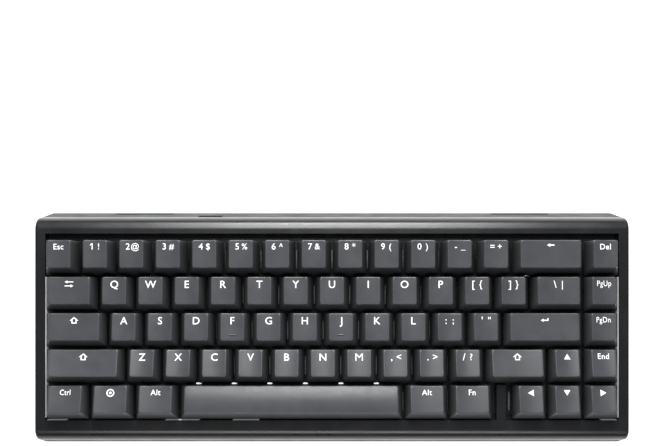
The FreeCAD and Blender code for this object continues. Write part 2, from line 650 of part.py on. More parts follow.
def stabiliser_wire(key):
    """A bent steel wire: a long run in front of the key and an arm back to each slider."""
    reach = dim(STABILISED[key.name])
    run_y = -value("wire_setback")
    arm_y = -(dim("stabiliser_slider") / 2 + dim("slider_clearance") + 0.15)
    z = dim("wire_diameter") / 2 + dim("wire_clearance")
    bend = dim("wire_diameter")
    tip = math.sqrt(0.5) * bend
    left, right = -reach, reach
    runs = [
        Part.LineSegment(Vector(left, arm_y, z), Vector(left, run_y + bend, z)).toShape(),
        Part.Arc(Vector(left, run_y + bend, z), Vector(left + bend - tip, run_y + bend - tip, z),
                 Vector(left + bend, run_y, z)).toShape(),
        Part.LineSegment(Vector(left + bend, run_y, z), Vector(right - bend, run_y, z)).toShape(),
        Part.Arc(Vector(right - bend, run_y, z), Vector(right - bend + tip, run_y + bend - tip, z),
                 Vector(right, run_y + bend, z)).toShape(),
        Part.LineSegment(Vector(right, run_y + bend, z), Vector(right, arm_y, z)).toShape(),
    ]
    section = Part.Wire([Part.Circle(Vector(left, arm_y, z), Vector(0, -1, 0), dim("wire_diameter") / 2).toShape()])
    wire = doc.addObject("Part::Feature", "wire_" + key.name)
    wire.Shape = Part.Wire(runs).makePipeShell([section], True, True)
    place = Vector(key.across * dim("key_pitch"), key.up * dim("key_pitch"), 0)
    wire.Placement = Placement(place, Rotation())
    return wire


# ---------------------------------------------------------------------------------------------
# Deck frame, and the places that several pieces share
# ---------------------------------------------------------------------------------------------
FIELD_X = f"{COLUMNS / 2} * key_pitch"
FIELD_Y = "2.5 * key_pitch"
OPEN_X = f"({FIELD_X} + side_gap)"
OPEN_FRONT = f"({FIELD_Y} + front_gap)"
OPEN_BACK = f"({FIELD_Y} + back_gap)"
RIM_X = f"({OPEN_X} + rim_side)"
RIM_FRONT = f"({OPEN_FRONT} + rim_front)"
RIM_BACK = f"({OPEN_BACK} + rim_back)"
BASE_FRONT = f"({RIM_FRONT} + front_flare)"
BASE_BACK = f"({RIM_BACK} + back_flare)"
BACK_DEPTH = f"(front_depth + ({BASE_FRONT} + {BASE_BACK}) * tan(typing_angle * 1deg))"
# the base's two bottom edges after the tilt
FRONT_Y = f"(-{BASE_FRONT} * cos(typing_angle * 1deg) + front_depth * sin(typing_angle * 1deg))"
BACK_Y = f"({BASE_BACK} * cos(typing_angle * 1deg) + {BACK_DEPTH} * sin(typing_angle * 1deg))"
DROP = f"({BASE_FRONT} * sin(typing_angle * 1deg) + front_depth * cos(typing_angle * 1deg))"
PADS_SHOW = "(pad_height - pad_recess)"
HALF_DEPTH = f"(({BACK_Y} - {FRONT_Y}) / 2)"

deck = doc.addObject("App::Placement", "deck_frame")
deck.Placement = Placement(Vector(), Rotation(Vector(1, 0, 0), 1))
bind(deck, Placement__Rotation__Angle="typing_angle", Placement__Base__y=f"-({FRONT_Y} + {BACK_Y}) / 2",
     Placement__Base__z=f"{DROP} + {PADS_SHOW}")
doc.recompute()


# ---------------------------------------------------------------------------------------------
# Case
# ---------------------------------------------------------------------------------------------
def case_block():
    """The case's outer form: its side outline as wide as the case, its upper edges rounded."""
    body = doc.addObject("PartDesign::Body", "case_block")
    drawn = body_sketch(body, "case_outline", "YZ_Plane")
    front, back = -value(BASE_FRONT), value(BASE_BACK)
    corners = [
        Vector(front, -dim("front_depth"), 0),
        Vector(back, -value(BACK_DEPTH), 0),
        Vector(value(RIM_BACK), dim("rim_height"), 0),
        Vector(-value(RIM_FRONT), dim("rim_height"), 0),
    ]
    for n in range(4):
        drawn.addGeometry(Part.LineSegment(corners[n], corners[(n + 1) % 4]), False)
    places = [
        (f"-{BASE_FRONT}", "-front_depth"),
        (BASE_BACK, f"-{BACK_DEPTH}"),
        (RIM_BACK, "rim_height"),
        (f"-{RIM_FRONT}", "rim_height"),
    ]
    for n in range(4):
        drawn.addConstraint(Sketcher.Constraint("Coincident", n, 2, (n + 1) % 4, 1))
    for n, (y, z) in enumerate(places):
        for way, expression, number in (("DistanceX", y, corners[n].x), ("DistanceY", z, corners[n].y)):
            made = drawn.addConstraint(Sketcher.Constraint(way, -1, 1, n, 1, number))
            drawn.setExpression(f"Constraints[{made}]", D(expression))
    pad = body.newObject("PartDesign::Pad", "case_pad")
    pad.Profile = drawn
    pad.Midplane = True
    bind(pad, Length=f"2 * {RIM_X}")
    doc.recompute()
    top = dim("rim_height") - 0.01
    front_edge = edges_where(pad, lambda p: p.z > top and p.y < 0 and abs(p.y + value(RIM_FRONT)) < 0.01)
    rounded = fillet(body, "front_round", pad, front_edge, "rim_round_front")
    back_edge = edges_where(rounded, lambda p: p.z > top and abs(p.y - value(RIM_BACK)) < 0.01)
    rounded = fillet(body, "back_round", rounded, back_edge, "rim_round_back")
    side = value(RIM_X) - 0.01
    slope = math.tan(math.radians(dim("typing_angle")))

    def off_base(p):
        return p.z > -dim("front_depth") - (p.y - front) * slope + 0.05

    chains = [
        name for name in edges_where(rounded, lambda p: abs(p.x) > side)
        if off_base(rounded.Shape.getElement(name).valueAt(
            (rounded.Shape.getElement(name).FirstParameter + rounded.Shape.getElement(name).LastParameter) / 2))
    ]
    return fillet(body, "side_round_chain", rounded, chains, "side_round")


def wall_front(z):
    """How far forward the room inside the front wall reaches, at a height."""
    return f"({RIM_FRONT} + front_flare * (rim_height - ({z})) / (rim_height + front_depth) - case_wall)"


def wall_back(z):
    """How far back the room inside the back wall reaches, at a height."""
    return f"({RIM_BACK} + back_flare * (rim_height - ({z})) / (rim_height + {BACK_DEPTH}) - case_wall)"


def slab(name, half_x, front, back, low, high):
    """A box across the case, from -front to back and from low to high."""
    return box(name, (f"-{half_x}", f"-({front})", low), (f"2 * {half_x}", f"{front} + {back}", f"({high}) - ({low})"))


ROOM_X = f"({RIM_X} - case_wall)"
PLATE_X = f"({OPEN_X} + plate_margin)"
PLATE_FRONT = f"({OPEN_FRONT} + plate_margin)"
PLATE_BACK = f"({OPEN_BACK} + plate_margin)"
SCREW_ROWS = [("front", f"-({OPEN_FRONT} + rim_front / 2 - 0.2)"), ("back", f"({OPEN_BACK} + rim_back - 3.2)")]
SCREW_COLUMNS = ["-1", "0", "1"]
BOSS = "(case_screw + 2 * screw_clearance + 2 * boss_wall)"


def case_screw_places():
    """Where the six case screws stand, as (name, x, y)."""
    return [
        (f"{side}_{n}", f"{column} * ({RIM_X} - screw_inset)", y)
        for side, y in SCREW_ROWS
        for n, column in enumerate(SCREW_COLUMNS)
    ]


def top_case(block):
    """Upper shell: the bezel round the keys, with a channel under its front and back, and the filler tongue."""
    upper = slab("above_parting", f"({RIM_X} + 5)", f"{BASE_FRONT} + 5", f"{BASE_BACK} + 5", "-parting_depth", "rim_height + 5")
    half = doc.addObject("Part::Common", "upper_half")
    half.Base, half.Tool = block, upper
    opening = slab("key_opening", OPEN_X, OPEN_FRONT, OPEN_BACK, "-parting_depth - 5", "rim_height + 5")
    seat = slab("plate_seat", f"({PLATE_X} + plate_clearance)", f"{PLATE_FRONT} + plate_clearance",
                f"{PLATE_BACK} + plate_clearance", "-parting_depth - 5", "plate_clearance")
    roof = "(rim_height - case_wall)"
    low = "-parting_depth - 1"
    channels = [
        box("front_channel", (f"-{ROOM_X}", f"-({RIM_FRONT} - case_wall + 0.6)", low),
            (f"2 * {ROOM_X}", "rim_front - case_wall - 1.2 + 0.6", f"{roof} - 2.4 - ({low})")),
        box("back_channel", (f"-{ROOM_X}", f"{OPEN_BACK} + 1.8", low),
            (f"2 * {ROOM_X}", "rim_back - case_wall - 1.8 + 0.4", f"{roof} - 3.0 - ({low})")),
    ]
    shell = cut("bezel_shell", half, opening, seat, *channels)
    bosses, holes = [], []
    for name, x, y in case_screw_places():
        bosses.append(cylinder(f"top_boss_{name}", (x, y), "-parting_depth", BOSS, f"{roof} - 2.2 + parting_depth"))
        holes.append(cylinder(f"pilot_{name}", (x, y), "-parting_depth - 1", "case_screw + 2 * screw_clearance",
                              f"{roof} - 1.9 + parting_depth"))
    gap = GAPS[0]
    tongue = box("filler_tongue", (f"{gap.across} * key_pitch - tongue_width / 2", f"-{OPEN_FRONT} - 0.5", "plate_clearance"),
                 ("tongue_width", "key_pitch + front_gap + 0.2", "rim_height - plate_clearance - 0.2"))
    bevelled = doc.addObject("Part::Fillet", "tongue_rounded")
    bevelled.Base = tongue
    doc.recompute()
    top = value("rim_height - 0.2") - 0.01
    bevelled.Edges = [
        (n, 0.8, 0.8) for n, edge in enumerate(tongue.Shape.Edges, start=1)
        if all(v.Z > top for v in edge.Vertexes) and max(v.Y for v in edge.Vertexes) > value(f"-{OPEN_FRONT}") + 5
    ]
    return cut("top_case", fuse("bezel_with_bosses", shell, *bosses, bevelled), *holes)


FOOT_X = f"({RIM_X} - foot_inset)"
HINGE_INSET = "(case_wall + foot_thickness / 2 + foot_clearance + 0.7)"  # the hinge's axis in front of the base's back edge
HINGE_Y = f"({HALF_DEPTH} - {HINGE_INSET})"
RECESS_DEEP = "(foot_thickness + foot_clearance)"
PAD_PLACES = [(f"{end}_{side}", f"{sign} * ({RIM_X} - {end}_pad_inset)", way)
              for end, way in (("front", -1), ("back", 1)) for side, sign in (("left", -1), ("right", 1))]
PORT_X = f"(-{3.5} * key_pitch)"
PORT_Z = "(-board_gap - board_thickness - socket_height / 2)"


def foot_recess(side, sign):
    """What a flip foot takes out of the base, in the standing frame: its bay and the holes for its pins."""
    x = f"{sign} * {FOOT_X}"
    bay_x = "(foot_length + 2 * foot_clearance)"
    bay = box(f"foot_bay_{side}", (f"{x} - {bay_x} / 2", f"{HINGE_Y} - foot_reach - foot_clearance", f"{PADS_SHOW} - 5"),
              (bay_x, f"foot_reach + foot_clearance + foot_thickness / 2 + foot_clearance", f"5 + {RECESS_DEEP}"))
    pin = doc.addObject("Part::Cylinder", f"pin_hole_{side}")
    pin.Placement = Placement(Vector(), Rotation(Vector(0, 1, 0), 90))
    length = f"(foot_length + 2 * pin_length + 0.4)"
    bind(pin, Radius="foot_pin / 2 + pin_clearance", Height=length)
    bind(pin, Placement__Base__x=f"{x} - {length} / 2", Placement__Base__y=HINGE_Y,
         Placement__Base__z=f"{PADS_SHOW} + foot_thickness / 2")
    return [bay, pin]


def foot_block(side, sign):
    """The raised block inside the case that walls a flip foot's bay, in the standing frame."""
    x = f"{sign} * {FOOT_X}"
    wide = "(foot_length + 2 * pin_length + 0.4 + 2 * foot_wall)"
    return box(f"foot_block_{side}", (f"{x} - {wide} / 2", f"{HINGE_Y} - foot_reach - foot_clearance - foot_wall", PADS_SHOW),
               (wide, "foot_reach + foot_thickness / 2 + 2 * foot_clearance + 2 * foot_wall", f"{RECESS_DEEP} + foot_wall"))


def pad_box(name, across, way, low, high, grow):
    """A pad's block, or the recess it sits in, in the standing frame."""
    x = across
    y = f"{way} * ({HALF_DEPTH} - pad_inset)"
    return box(name, (f"{x} - pad_length / 2 - {grow}", f"{y} - pad_width / 2 - {grow}", low),
               (f"pad_length + 2 * {grow}", f"pad_width + 2 * {grow}", f"({high}) - ({low})"))


def standing(name, *shapes):
    """Shapes of the standing frame, seen from the deck frame."""
    g = group(name, *shapes)
    g.setExpression("Placement", "minvert(deck_frame.Placement)")
    return g


def bottom_case(block):
    """Lower shell: a wedge-shaped tray with posts, screw tubes, foot bays, pad seats and the plug's port."""
    lower = slab("below_parting", f"({RIM_X} + 5)", f"{BASE_FRONT} + 5", f"{BASE_BACK} + 5", "-60", "-parting_depth")
    half = doc.addObject("Part::Common", "lower_half")
    half.Base, half.Tool = block, lower
    # the room inside: the case's outline pulled in by a wall, with square corners
    low, high = "-30", "(-parting_depth + 1)"
    foot_front, foot_back = wall_front(low), wall_back(low)
    head_front, head_back = wall_front(high), wall_back(high)
    middle = f"(({foot_back} - {foot_front}) / 2)"
    lean = f"(({head_back} - {head_front}) / 2 - {middle})"
    roomy = taper("tray_room", ("0", middle), low, high, (f"2 * {ROOM_X}", f"({foot_back} + {foot_front})"),
                  (f"2 * {ROOM_X}", f"({head_back} + {head_front})"), lean)
    floor = box("floor_cutter", (f"-({RIM_X} + 5)", f"-({HALF_DEPTH} + 20)", "-60"),
                (f"2 * ({RIM_X} + 5)", f"2 * ({HALF_DEPTH} + 20)", f"60 + {PADS_SHOW} + case_wall"))
    hollow = cut("tray_hollow", roomy, standing("floor_of_hollow", floor))
    tray = cut("tray", half, hollow)
    added, taken = [], []
    for name, x, y in case_screw_places():
        added.append(cylinder(f"low_boss_{name}", (x, y), "-60", "case_screw_head + 2 * screw_clearance + 2 * boss_wall", "60 - parting_depth"))
        taken.append(cylinder(f"screw_way_{name}", (x, y), "-60", "case_screw + 2 * screw_clearance", "61"))
        taken.append(cylinder(f"head_well_{name}", (x, y), "-60", "case_screw_head + 2 * screw_clearance",
                              "60 - parting_depth - screw_land"))
    for n, (x, y) in enumerate(plate_screw_places()):
        added.append(cylinder(f"post_{n}", (x, y), "-60", "standoff", "60 - plate_thickness"))
        taken.append(cylinder(f"post_pilot_{n}", (x, y), "-plate_thickness - 6.5", "plate_screw + 2 * screw_clearance", "8"))
    port_y = port_front()
    added.append(box("port_block", (f"{PORT_X} - port_width / 2 - 1.6", f"{port_y} - 0.0", "-board_gap - board_thickness - 12"),
                     ("port_width + 3.2", f"{RIM_BACK} - ({port_y})", "12 + board_thickness + board_gap - parting_depth")))
    posts = fuse("posts", *added)
    inside = doc.addObject("Part::Common", "posts_inside")
    inside.Base, inside.Tool = posts, lower_envelope(block)
    taken.append(box("plug_port", (f"{PORT_X} - port_width / 2", f"{port_y} + 1.2", f"{PORT_Z} - port_height / 2"),
                     ("port_width", "40", "port_height")))
    taken.append(box("socket_slot", (f"{PORT_X} - socket_width / 2 - 0.15", f"{port_y} - 5", f"{PORT_Z} - socket_height / 2 - 0.15"),
                     ("socket_width + 0.3", "10", "socket_height + 0.3")))
    raised = [standing(f"raised_{side}", foot_block(side, sign)) for side, sign in (("left", -1), ("right", 1))]
    sunk = [standing(f"sunk_{side}", *foot_recess(side, sign)) for side, sign in (("left", -1), ("right", 1))]
    pads = standing("pad_seats", *[
        pad_box(f"pad_seat_{name}", across, way, f"{PADS_SHOW} - 5", f"{PADS_SHOW} + pad_recess", "0.15")
        for name, across, way in PAD_PLACES
    ])
    return cut("bottom_case", fuse("tray_with_posts", tray, inside, *raised), *taken, *sunk, pads)


def lower_envelope(block):
    """The whole case block, from which posts are trimmed to the base and walls."""
    limited = doc.addObject("Part::Common", "block_below_plate")
    ceiling = slab("post_ceiling", f"({RIM_X} + 5)", f"{BASE_FRONT} + 5", f"{BASE_BACK} + 5", "-60", "-plate_thickness")
    limited.Base, limited.Tool = block, ceiling
    return limited


def port_front():
    """Where the plug recess ends inside the case, in front of the back wall."""
    return f"({RIM_BACK} - port_depth)"


# ---------------------------------------------------------------------------------------------
# Plate, board and what is on them
# ---------------------------------------------------------------------------------------------
def plate_screw_places():
    """Six plate screws on the lines between rows, clear of the stabilisers, as (x, y)."""
    return [(f"{x} * key_pitch", f"{y} * key_pitch") for x, y in
            ((-6.6, 1.5), (0.4, 1.5), (5.0, 0.5), (-5.3, 0.5), (-1.6, -0.5), (7.0, -0.5))]


def switch_plate():
    """Steel plate with a square hole under each key and clip holes for the stabilisers."""
    blank = slab("plate_blank", PLATE_X, PLATE_FRONT, PLATE_BACK, "-plate_thickness", "0")
    holes = []
    for key in KEYS:
        holes.append(box(f"hole_{key.name}", (f"{key.across} * key_pitch - cutout / 2", f"{key.up} * key_pitch - cutout / 2",
                                              "-plate_thickness - 1"), ("cutout", "cutout", "plate_thickness + 2")))
        if key.name in STABILISED:
            for side in (-1, 1):
                x = f"{key.across} * key_pitch + {side} * {STABILISED[key.name]}"
                holes.append(box(f"clip_hole_{key.name}_{side + 1}", (f"{x} - stabiliser_width / 2 - 0.05",
                                 f"{key.up} * key_pitch - stabiliser_length / 2 - 0.05", "-plate_thickness - 1"),
                                 ("stabiliser_width + 0.1", "stabiliser_length + 0.1", "plate_thickness + 2")))
    for n, (x, y) in enumerate(plate_screw_places()):
        holes.append(cylinder(f"plate_screw_hole_{n}", (x, y), "-plate_thickness - 1", "plate_screw + 2 * screw_clearance",
                              "plate_thickness + 2"))
    return cut("switch_plate", blank, *holes)


BOARD_TOP = "(-board_gap)"
BOARD_LOW = "(-board_gap - board_thickness)"


def circuit_board():
    """Board under the plate, pierced for the switch posts and the six standoffs."""
    blank = slab("board_blank", f"({FIELD_X} - board_margin)", f"{FIELD_Y} - board_margin", f"{OPEN_BACK} - board_margin", BOARD_LOW, BOARD_TOP)
    holes = [
        cylinder(f"post_hole_{key.name}", (f"{key.across} * key_pitch", f"{key.up} * key_pitch"), f"{BOARD_LOW} - 1",
                 "post_diameter + 0.2", "board_thickness + 2")
        for key in KEYS
    ]
    holes += [
        cylinder(f"standoff_hole_{n}", (x, y), f"{BOARD_LOW} - 1", "standoff + 0.8", "board_thickness + 2")
        for n, (x, y) in enumerate(plate_screw_places())
    ]
    return cut("circuit_board", blank, *holes)


def lamps():
    """One surface lamp per key on the board, in front of the switch's post."""
    master = group("lamp", box("lamp_block", lamp_low("0", BOARD_TOP), lamp_size("0", "lamp_height")))
    return group("led_lamps", *[at_key(f"lamp_{key.name}", master, key) for key in KEYS])


def controller_chips():
    """The controller and the two lamp drivers under the board, each with its body on short legs."""
    chips = []
    for n, (x, y, size) in enumerate(((-2.6, 1.02, "7"), (1.9, 0.02, "6"), (-3.1, -1.0, "6"))):
        chips.append(box(f"chip_{n}", (f"{x} * key_pitch", f"{y} * key_pitch + post_diameter / 2 + 0.4", f"{BOARD_LOW} - 1.2"),
                         (size, size, "1.2")))
    return group("controller_chips", *chips)


def usb_socket():
    """The socket's shell with its hollow mouth and the tongue inside it."""
    y = f"({port_front()} + 1.0)"
    z = f"({PORT_Z})"
    shell = box("socket_block", (f"{PORT_X} - socket_width / 2", f"{y} - socket_length", f"{z} - socket_height / 2"),
                ("socket_width", "socket_length", "socket_height"))
    mouth = box("socket_mouth", (f"{PORT_X} - socket_width / 2 + 0.3", f"{y} - socket_length + 1.2", f"{z} - socket_height / 2 + 0.3"),
                ("socket_width - 0.6", "socket_length", "socket_height - 0.6"))
    tongue = box("socket_tongue", (f"{PORT_X} - 3.3", f"{y} - socket_length + 0.6", f"{z} - 0.35"), ("6.6", "5.2", "0.7"))
    ends = doc.addObject("Part::Fillet", "socket_rounded")
    ends.Base = shell
    doc.recompute()
    ends.Edges = [
        (n, 1.2, 1.2) for n, edge in enumerate(shell.Shape.Edges, start=1)
        if abs(edge.Vertexes[0].Y - edge.Vertexes[1].Y) > 1
    ]
    return fuse("usb_socket", cut("socket_shell", ends, mouth), tongue)


def screws(name, places, low, shank, head, length):
    """Screws head down or head up at the places: a shank and a flat head, joined."""
    made = []
    for tag, x, y, flip in places:
        stem = cylinder(f"{name}_shank_{tag}", (x, y), low, shank, length)
        base = f"({low}) - head_height" if flip else f"({low}) + {length}"
        cap = cylinder(f"{name}_head_{tag}", (x, y), base, head, "head_height")
        made.append(fuse(f"{name}_{tag}", stem, cap))
    return group(name, *made)


# ---------------------------------------------------------------------------------------------
# Underside: pads and flip feet, modelled in the standing frame
# ---------------------------------------------------------------------------------------------
def rubber_pads():
    """Four pads let into the base; their lower faces are what the keyboard stands on."""
    return group("rubber_pads", *[
        pad_box(f"pad_{name}", across, way, "0", "pad_height", "0") for name, across, way in PAD_PLACES
    ])


def flip_foot(side, sign):
    """A folding foot, stowed: a slab with a rounded hinge end, two pins and a grip notch at its tip."""
    x = f"{sign} * {FOOT_X}"
    z = f"({PADS_SHOW} + foot_thickness / 2)"
    slab_part = box(f"foot_slab_{side}", (f"{x} - foot_length / 2", f"{HINGE_Y} - foot_reach", PADS_SHOW),
                    ("foot_length", "foot_reach", "foot_thickness"))
    parts = [slab_part]
    for kind, diameter, length in (("barrel", "foot_thickness", "foot_length"),
                                   ("pin", "foot_pin", "(foot_length + 2 * pin_length)")):
        round_bar = doc.addObject("Part::Cylinder", f"foot_{kind}_{side}")
        round_bar.Placement = Placement(Vector(), Rotation(Vector(0, 1, 0), 90))
        bind(round_bar, Radius=f"{diameter} / 2", Height=length)
        bind(round_bar, Placement__Base__x=f"{x} - {length} / 2", Placement__Base__y=HINGE_Y, Placement__Base__z=z)
        parts.append(round_bar)
    notch = box(f"foot_notch_{side}", (f"{x} - 5", f"{HINGE_Y} - foot_reach - 1", f"{PADS_SHOW} - 1"), ("10", "2.4", "2.2"))
    return cut(f"flip_foot_{side}", fuse(f"foot_solid_{side}", *parts), notch)


# ---------------------------------------------------------------------------------------------
# Assembly
# ---------------------------------------------------------------------------------------------
def key_nodes(switch_slider, long_slider):
    """Each key's moving pieces, grouped by node: its cap, its switch slider and its stabiliser sliders."""
    masters, held = {}, {}
    for key in KEYS:
        kind = (key.profile, key.width, key.name in HOMING)
        if kind not in masters:
            masters[kind] = cap_master(*kind)
        pieces = held.setdefault(key.node, [])
        pieces.append(at_key(f"cap_of_{key.name}", masters[kind], key))
        pieces.append(at_key(f"slider_of_{key.name}", switch_slider, key))
        if key.name in STABILISED:
            for side in (-1, 1):
                pieces.append(at_key(f"post_of_{key.name}_{side + 1}", long_slider, key, f"{side} * {STABILISED[key.name]}"))
    return {node: group(node, *pieces) for node, pieces in held.items()}


def build():
    """Every sub-part as a document object, by node name; deck says whether it tilts with the deck."""
    tilted, upright = {}, {}
    tilted.update(key_nodes(slider(), stabiliser_slider()))
    lower, upper, coil, guide = lower_housing(), upper_housing(), spring(), stabiliser_housing()
    tilted["switch_lower_housings"] = group("lower_housings", *[at_key(f"lower_{k.name}", lower, k) for k in KEYS])
    tilted["switch_upper_housings"] = group("upper_housings", *[at_key(f"upper_{k.name}", upper, k) for k in KEYS])
    tilted["switch_springs"] = group("springs", *[at_key(f"spring_{k.name}", coil, k) for k in KEYS])
    long_keys = [k for k in KEYS if k.name in STABILISED]
    tilted["stabiliser_housings"] = group("stabiliser_housings", *[
        at_key(f"guide_{k.name}_{side + 1}", guide, k, f"{side} * {STABILISED[k.name]}") for k in long_keys for side in (-1, 1)
    ])
    tilted["stabiliser_wires"] = group("stabiliser_wires", *[stabiliser_wire(k) for k in long_keys])
    tilted["switch_plate"] = switch_plate()
    tilted["circuit_board"] = circuit_board()
    tilted["led_lamps"] = lamps()
    tilted["controller_chips"] = controller_chips()
    tilted["usb_socket"] = usb_socket()
    block = case_block()
    tilted["top_case"] = top_case(block)
    tilted["bottom_case"] = bottom_case(block)
    tilted["case_screws"] = screws("case_screws", [(n, x, y, True) for n, x, y in case_screw_places()],
                                   "-parting_depth - screw_land", "case_screw", "case_screw_head", "screw_land + screw_reach")
    tilted["plate_screws"] = screws("plate_screws", [(n, x, y, False) for n, (x, y) in enumerate(plate_screw_places())],
                                    "-6", "plate_screw", "plate_screw_head", "6")
    upright["rubber_pads"] = rubber_pads()
    for side, sign in (("left", -1), ("right", 1)):
        upright[f"flip_foot_{side}"] = flip_foot(side, sign)
    for node, thing in tilted.items():
        thing.setExpression("Placement", "deck_frame.Placement")
        thing.Label = node
    for node, thing in upright.items():
        thing.Label = node
    doc.recompute()
    return {**tilted, **upright}


def check(parts):
    """Stops the build on a failed object or a shape that isn't sound."""
    failed = [o.Name for o in doc.Objects if "Invalid" in o.State or "Error" in o.State]
    if failed:
        raise RuntimeError(f"these objects failed: {failed}")
    for node, thing in parts.items():
        shape = thing.Shape
        if shape.isNull() or not shape.isValid() or not shape.Solids:
            raise RuntimeError(f"{node} is not a sound solid")


def write(parts):
    """Each sub-part's shape to parts/NODE.step."""
    for node, thing in parts.items():
        thing.Shape.exportStep(f"parts/{node}.step")


PARTS = build()
check(PARTS)
write(PARTS)
print(f"{len(PARTS)} nodes, {sum(len(t.Shape.Solids) for t in PARTS.values())} solids")
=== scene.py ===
# %% [markdown]
# # A compact mechanical keyboard
#
# Sixty-seven caps stand in five rows on a black case with a raised rim. Each cap is pressed on the cross
# of a switch, and the switches are clipped into a steel plate. The plate, the case and the small parts
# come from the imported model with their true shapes, so this lesson gives them finishes. The caps are what
# the eye rests on, so they are made again here as smooth surfaces, with their legends laid into the top.

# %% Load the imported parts
import json
import math

import bmesh
import bpy
import numpy as np
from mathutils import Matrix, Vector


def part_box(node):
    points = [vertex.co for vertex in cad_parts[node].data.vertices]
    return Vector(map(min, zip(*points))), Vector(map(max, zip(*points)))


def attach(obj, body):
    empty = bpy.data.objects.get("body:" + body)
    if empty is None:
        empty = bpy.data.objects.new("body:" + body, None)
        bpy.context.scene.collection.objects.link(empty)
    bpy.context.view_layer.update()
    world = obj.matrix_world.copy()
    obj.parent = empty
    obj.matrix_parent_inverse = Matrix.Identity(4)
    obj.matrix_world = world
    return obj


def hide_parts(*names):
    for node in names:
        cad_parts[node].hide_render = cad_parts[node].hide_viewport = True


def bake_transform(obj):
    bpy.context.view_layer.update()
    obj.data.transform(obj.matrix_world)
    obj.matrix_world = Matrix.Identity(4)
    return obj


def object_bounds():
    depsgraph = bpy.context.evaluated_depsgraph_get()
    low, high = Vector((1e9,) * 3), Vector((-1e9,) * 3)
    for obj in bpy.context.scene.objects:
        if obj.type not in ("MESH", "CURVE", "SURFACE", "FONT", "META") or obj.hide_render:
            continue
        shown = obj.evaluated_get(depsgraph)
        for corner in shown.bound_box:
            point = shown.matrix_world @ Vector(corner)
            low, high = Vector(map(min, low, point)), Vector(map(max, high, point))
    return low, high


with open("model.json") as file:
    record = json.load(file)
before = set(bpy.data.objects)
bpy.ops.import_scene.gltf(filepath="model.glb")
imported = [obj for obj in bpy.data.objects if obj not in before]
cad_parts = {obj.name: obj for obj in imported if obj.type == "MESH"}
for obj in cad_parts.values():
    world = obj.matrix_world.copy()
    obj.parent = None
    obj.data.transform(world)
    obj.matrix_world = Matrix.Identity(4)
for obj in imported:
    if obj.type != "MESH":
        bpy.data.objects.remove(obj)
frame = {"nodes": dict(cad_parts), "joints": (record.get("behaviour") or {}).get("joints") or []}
cad_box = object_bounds()

# %% [markdown]
# ## The typing plane
#
# The keys stand on a plate that falls towards the typist. It is easier to shape a cap in that sloping
# frame, with X to the right, Y to the back and Z square to the plate, and to tip the finished points at
# the end. The slope is read from a key's own line of travel, and the plate's corners give the place.

# %% A frame that lies on the plate
MM = 0.001
PITCH = 19.05 * MM
ROWS_HALF = 2.5 * PITCH
PLATE_FRONT = ROWS_HALF + 2.1 * MM
PLATE_BACK = ROWS_HALF + 5.5 * MM

travel_axis = next(j["axis"] for j in frame["joints"] if j["name"].startswith("press_"))
SLOPE = math.atan2(travel_axis[1], -travel_axis[2])
plate_low, plate_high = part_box("switch_plate")
DECK_Y = plate_low.y + PLATE_FRONT * math.cos(SLOPE)
DECK_Z = plate_high.z - PLATE_BACK * math.sin(SLOPE)


def tip(points):
    """Deck points into the object's frame: a turn by the slope about X, then a shift to the plate's place."""
    x, y, z = np.moveaxis(np.asarray(points, float), -1, 0)
    return np.stack([x, y * math.cos(SLOPE) - z * math.sin(SLOPE) + DECK_Y,
                     y * math.sin(SLOPE) + z * math.cos(SLOPE) + DECK_Z], axis=-1)


print("slope in degrees:", round(math.degrees(SLOPE), 2))

# %% [markdown]
# ## The layout
#
# Each row is sixteen units wide. A key is written as the body that carries it, its width in units and its
# legend. Some bodies carry two neighbouring keys, which are then made as two caps of one piece. A word in
# angle brackets is a drawn mark, and a gap is the place of the case's filler tongue.

# %% Rows of keys
LAYOUT = {
    "number": (
        ("key_esc", 1, "Esc"), ("key_n1_n2", 1, "1 !", "2 @"), ("key_n3_n4", 1, "3 #", "4 $"),
        ("key_n5_n6", 1, "5 %", "6 ^"), ("key_n7_n8", 1, "7 &", "8 *"), ("key_n9_n0", 1, "9 (", "0 )"),
        ("key_minus_equals", 1, "- _", "= +"), ("key_backspace", 2, "<back>"), ("key_delete", 1, "Del")),
    "upper": (
        ("key_tab", 1.5, "<tab>"), ("key_q_w", 1, "Q", "W"), ("key_e_r", 1, "E", "R"),
        ("key_t_y", 1, "T", "Y"), ("key_u_i", 1, "U", "I"), ("key_o_p", 1, "O", "P"),
        ("key_left_bracket_right_bracket", 1, "[ {", "] }"),
        ("key_backslash", 1.5, "\\ |"), ("key_page_up_page_down", 1, "PgUp")),
    "home": (
        ("key_caps_lock", 1.75, "<caps>"), ("key_a_s", 1, "A", "S"), ("key_d_f", 1, "D", "F"),
        ("key_g_h", 1, "G", "H"), ("key_j_k", 1, "J", "K"), ("key_l_semicolon", 1, "L", ": ;"),
        ("key_apostrophe", 1, "' \""), ("key_enter", 2.25, "<enter>"), ("key_page_up_page_down", 1, "PgDn")),
    "lower": (
        ("key_left_shift", 2.25, "<shift>"), ("key_z_x", 1, "Z", "X"), ("key_c_v", 1, "C", "V"),
        ("key_b_n", 1, "B", "N"), ("key_m_comma", 1, "M", ", <"), ("key_period_slash", 1, ". >", "/ ?"),
        ("key_right_shift", 1.75, "<shift>"), ("key_up", 1, "<up>"), ("key_end", 1, "End")),
    "space": (
        ("key_control", 1.25, "Ctrl"), ("key_super", 1.25, "<ring>"), ("key_left_alt_right_alt", 1.25, "Alt"),
        ("key_space", 6.25, ""), ("key_left_alt_right_alt", 1.25, "Alt"), ("key_function", 1.25, "Fn"),
        ("gap", 0.5, ""), ("key_left", 1, "<left>"), ("key_down", 1, "<down>"), ("key_right", 1, "<right>")),
}
HOMING = ("F", "J")


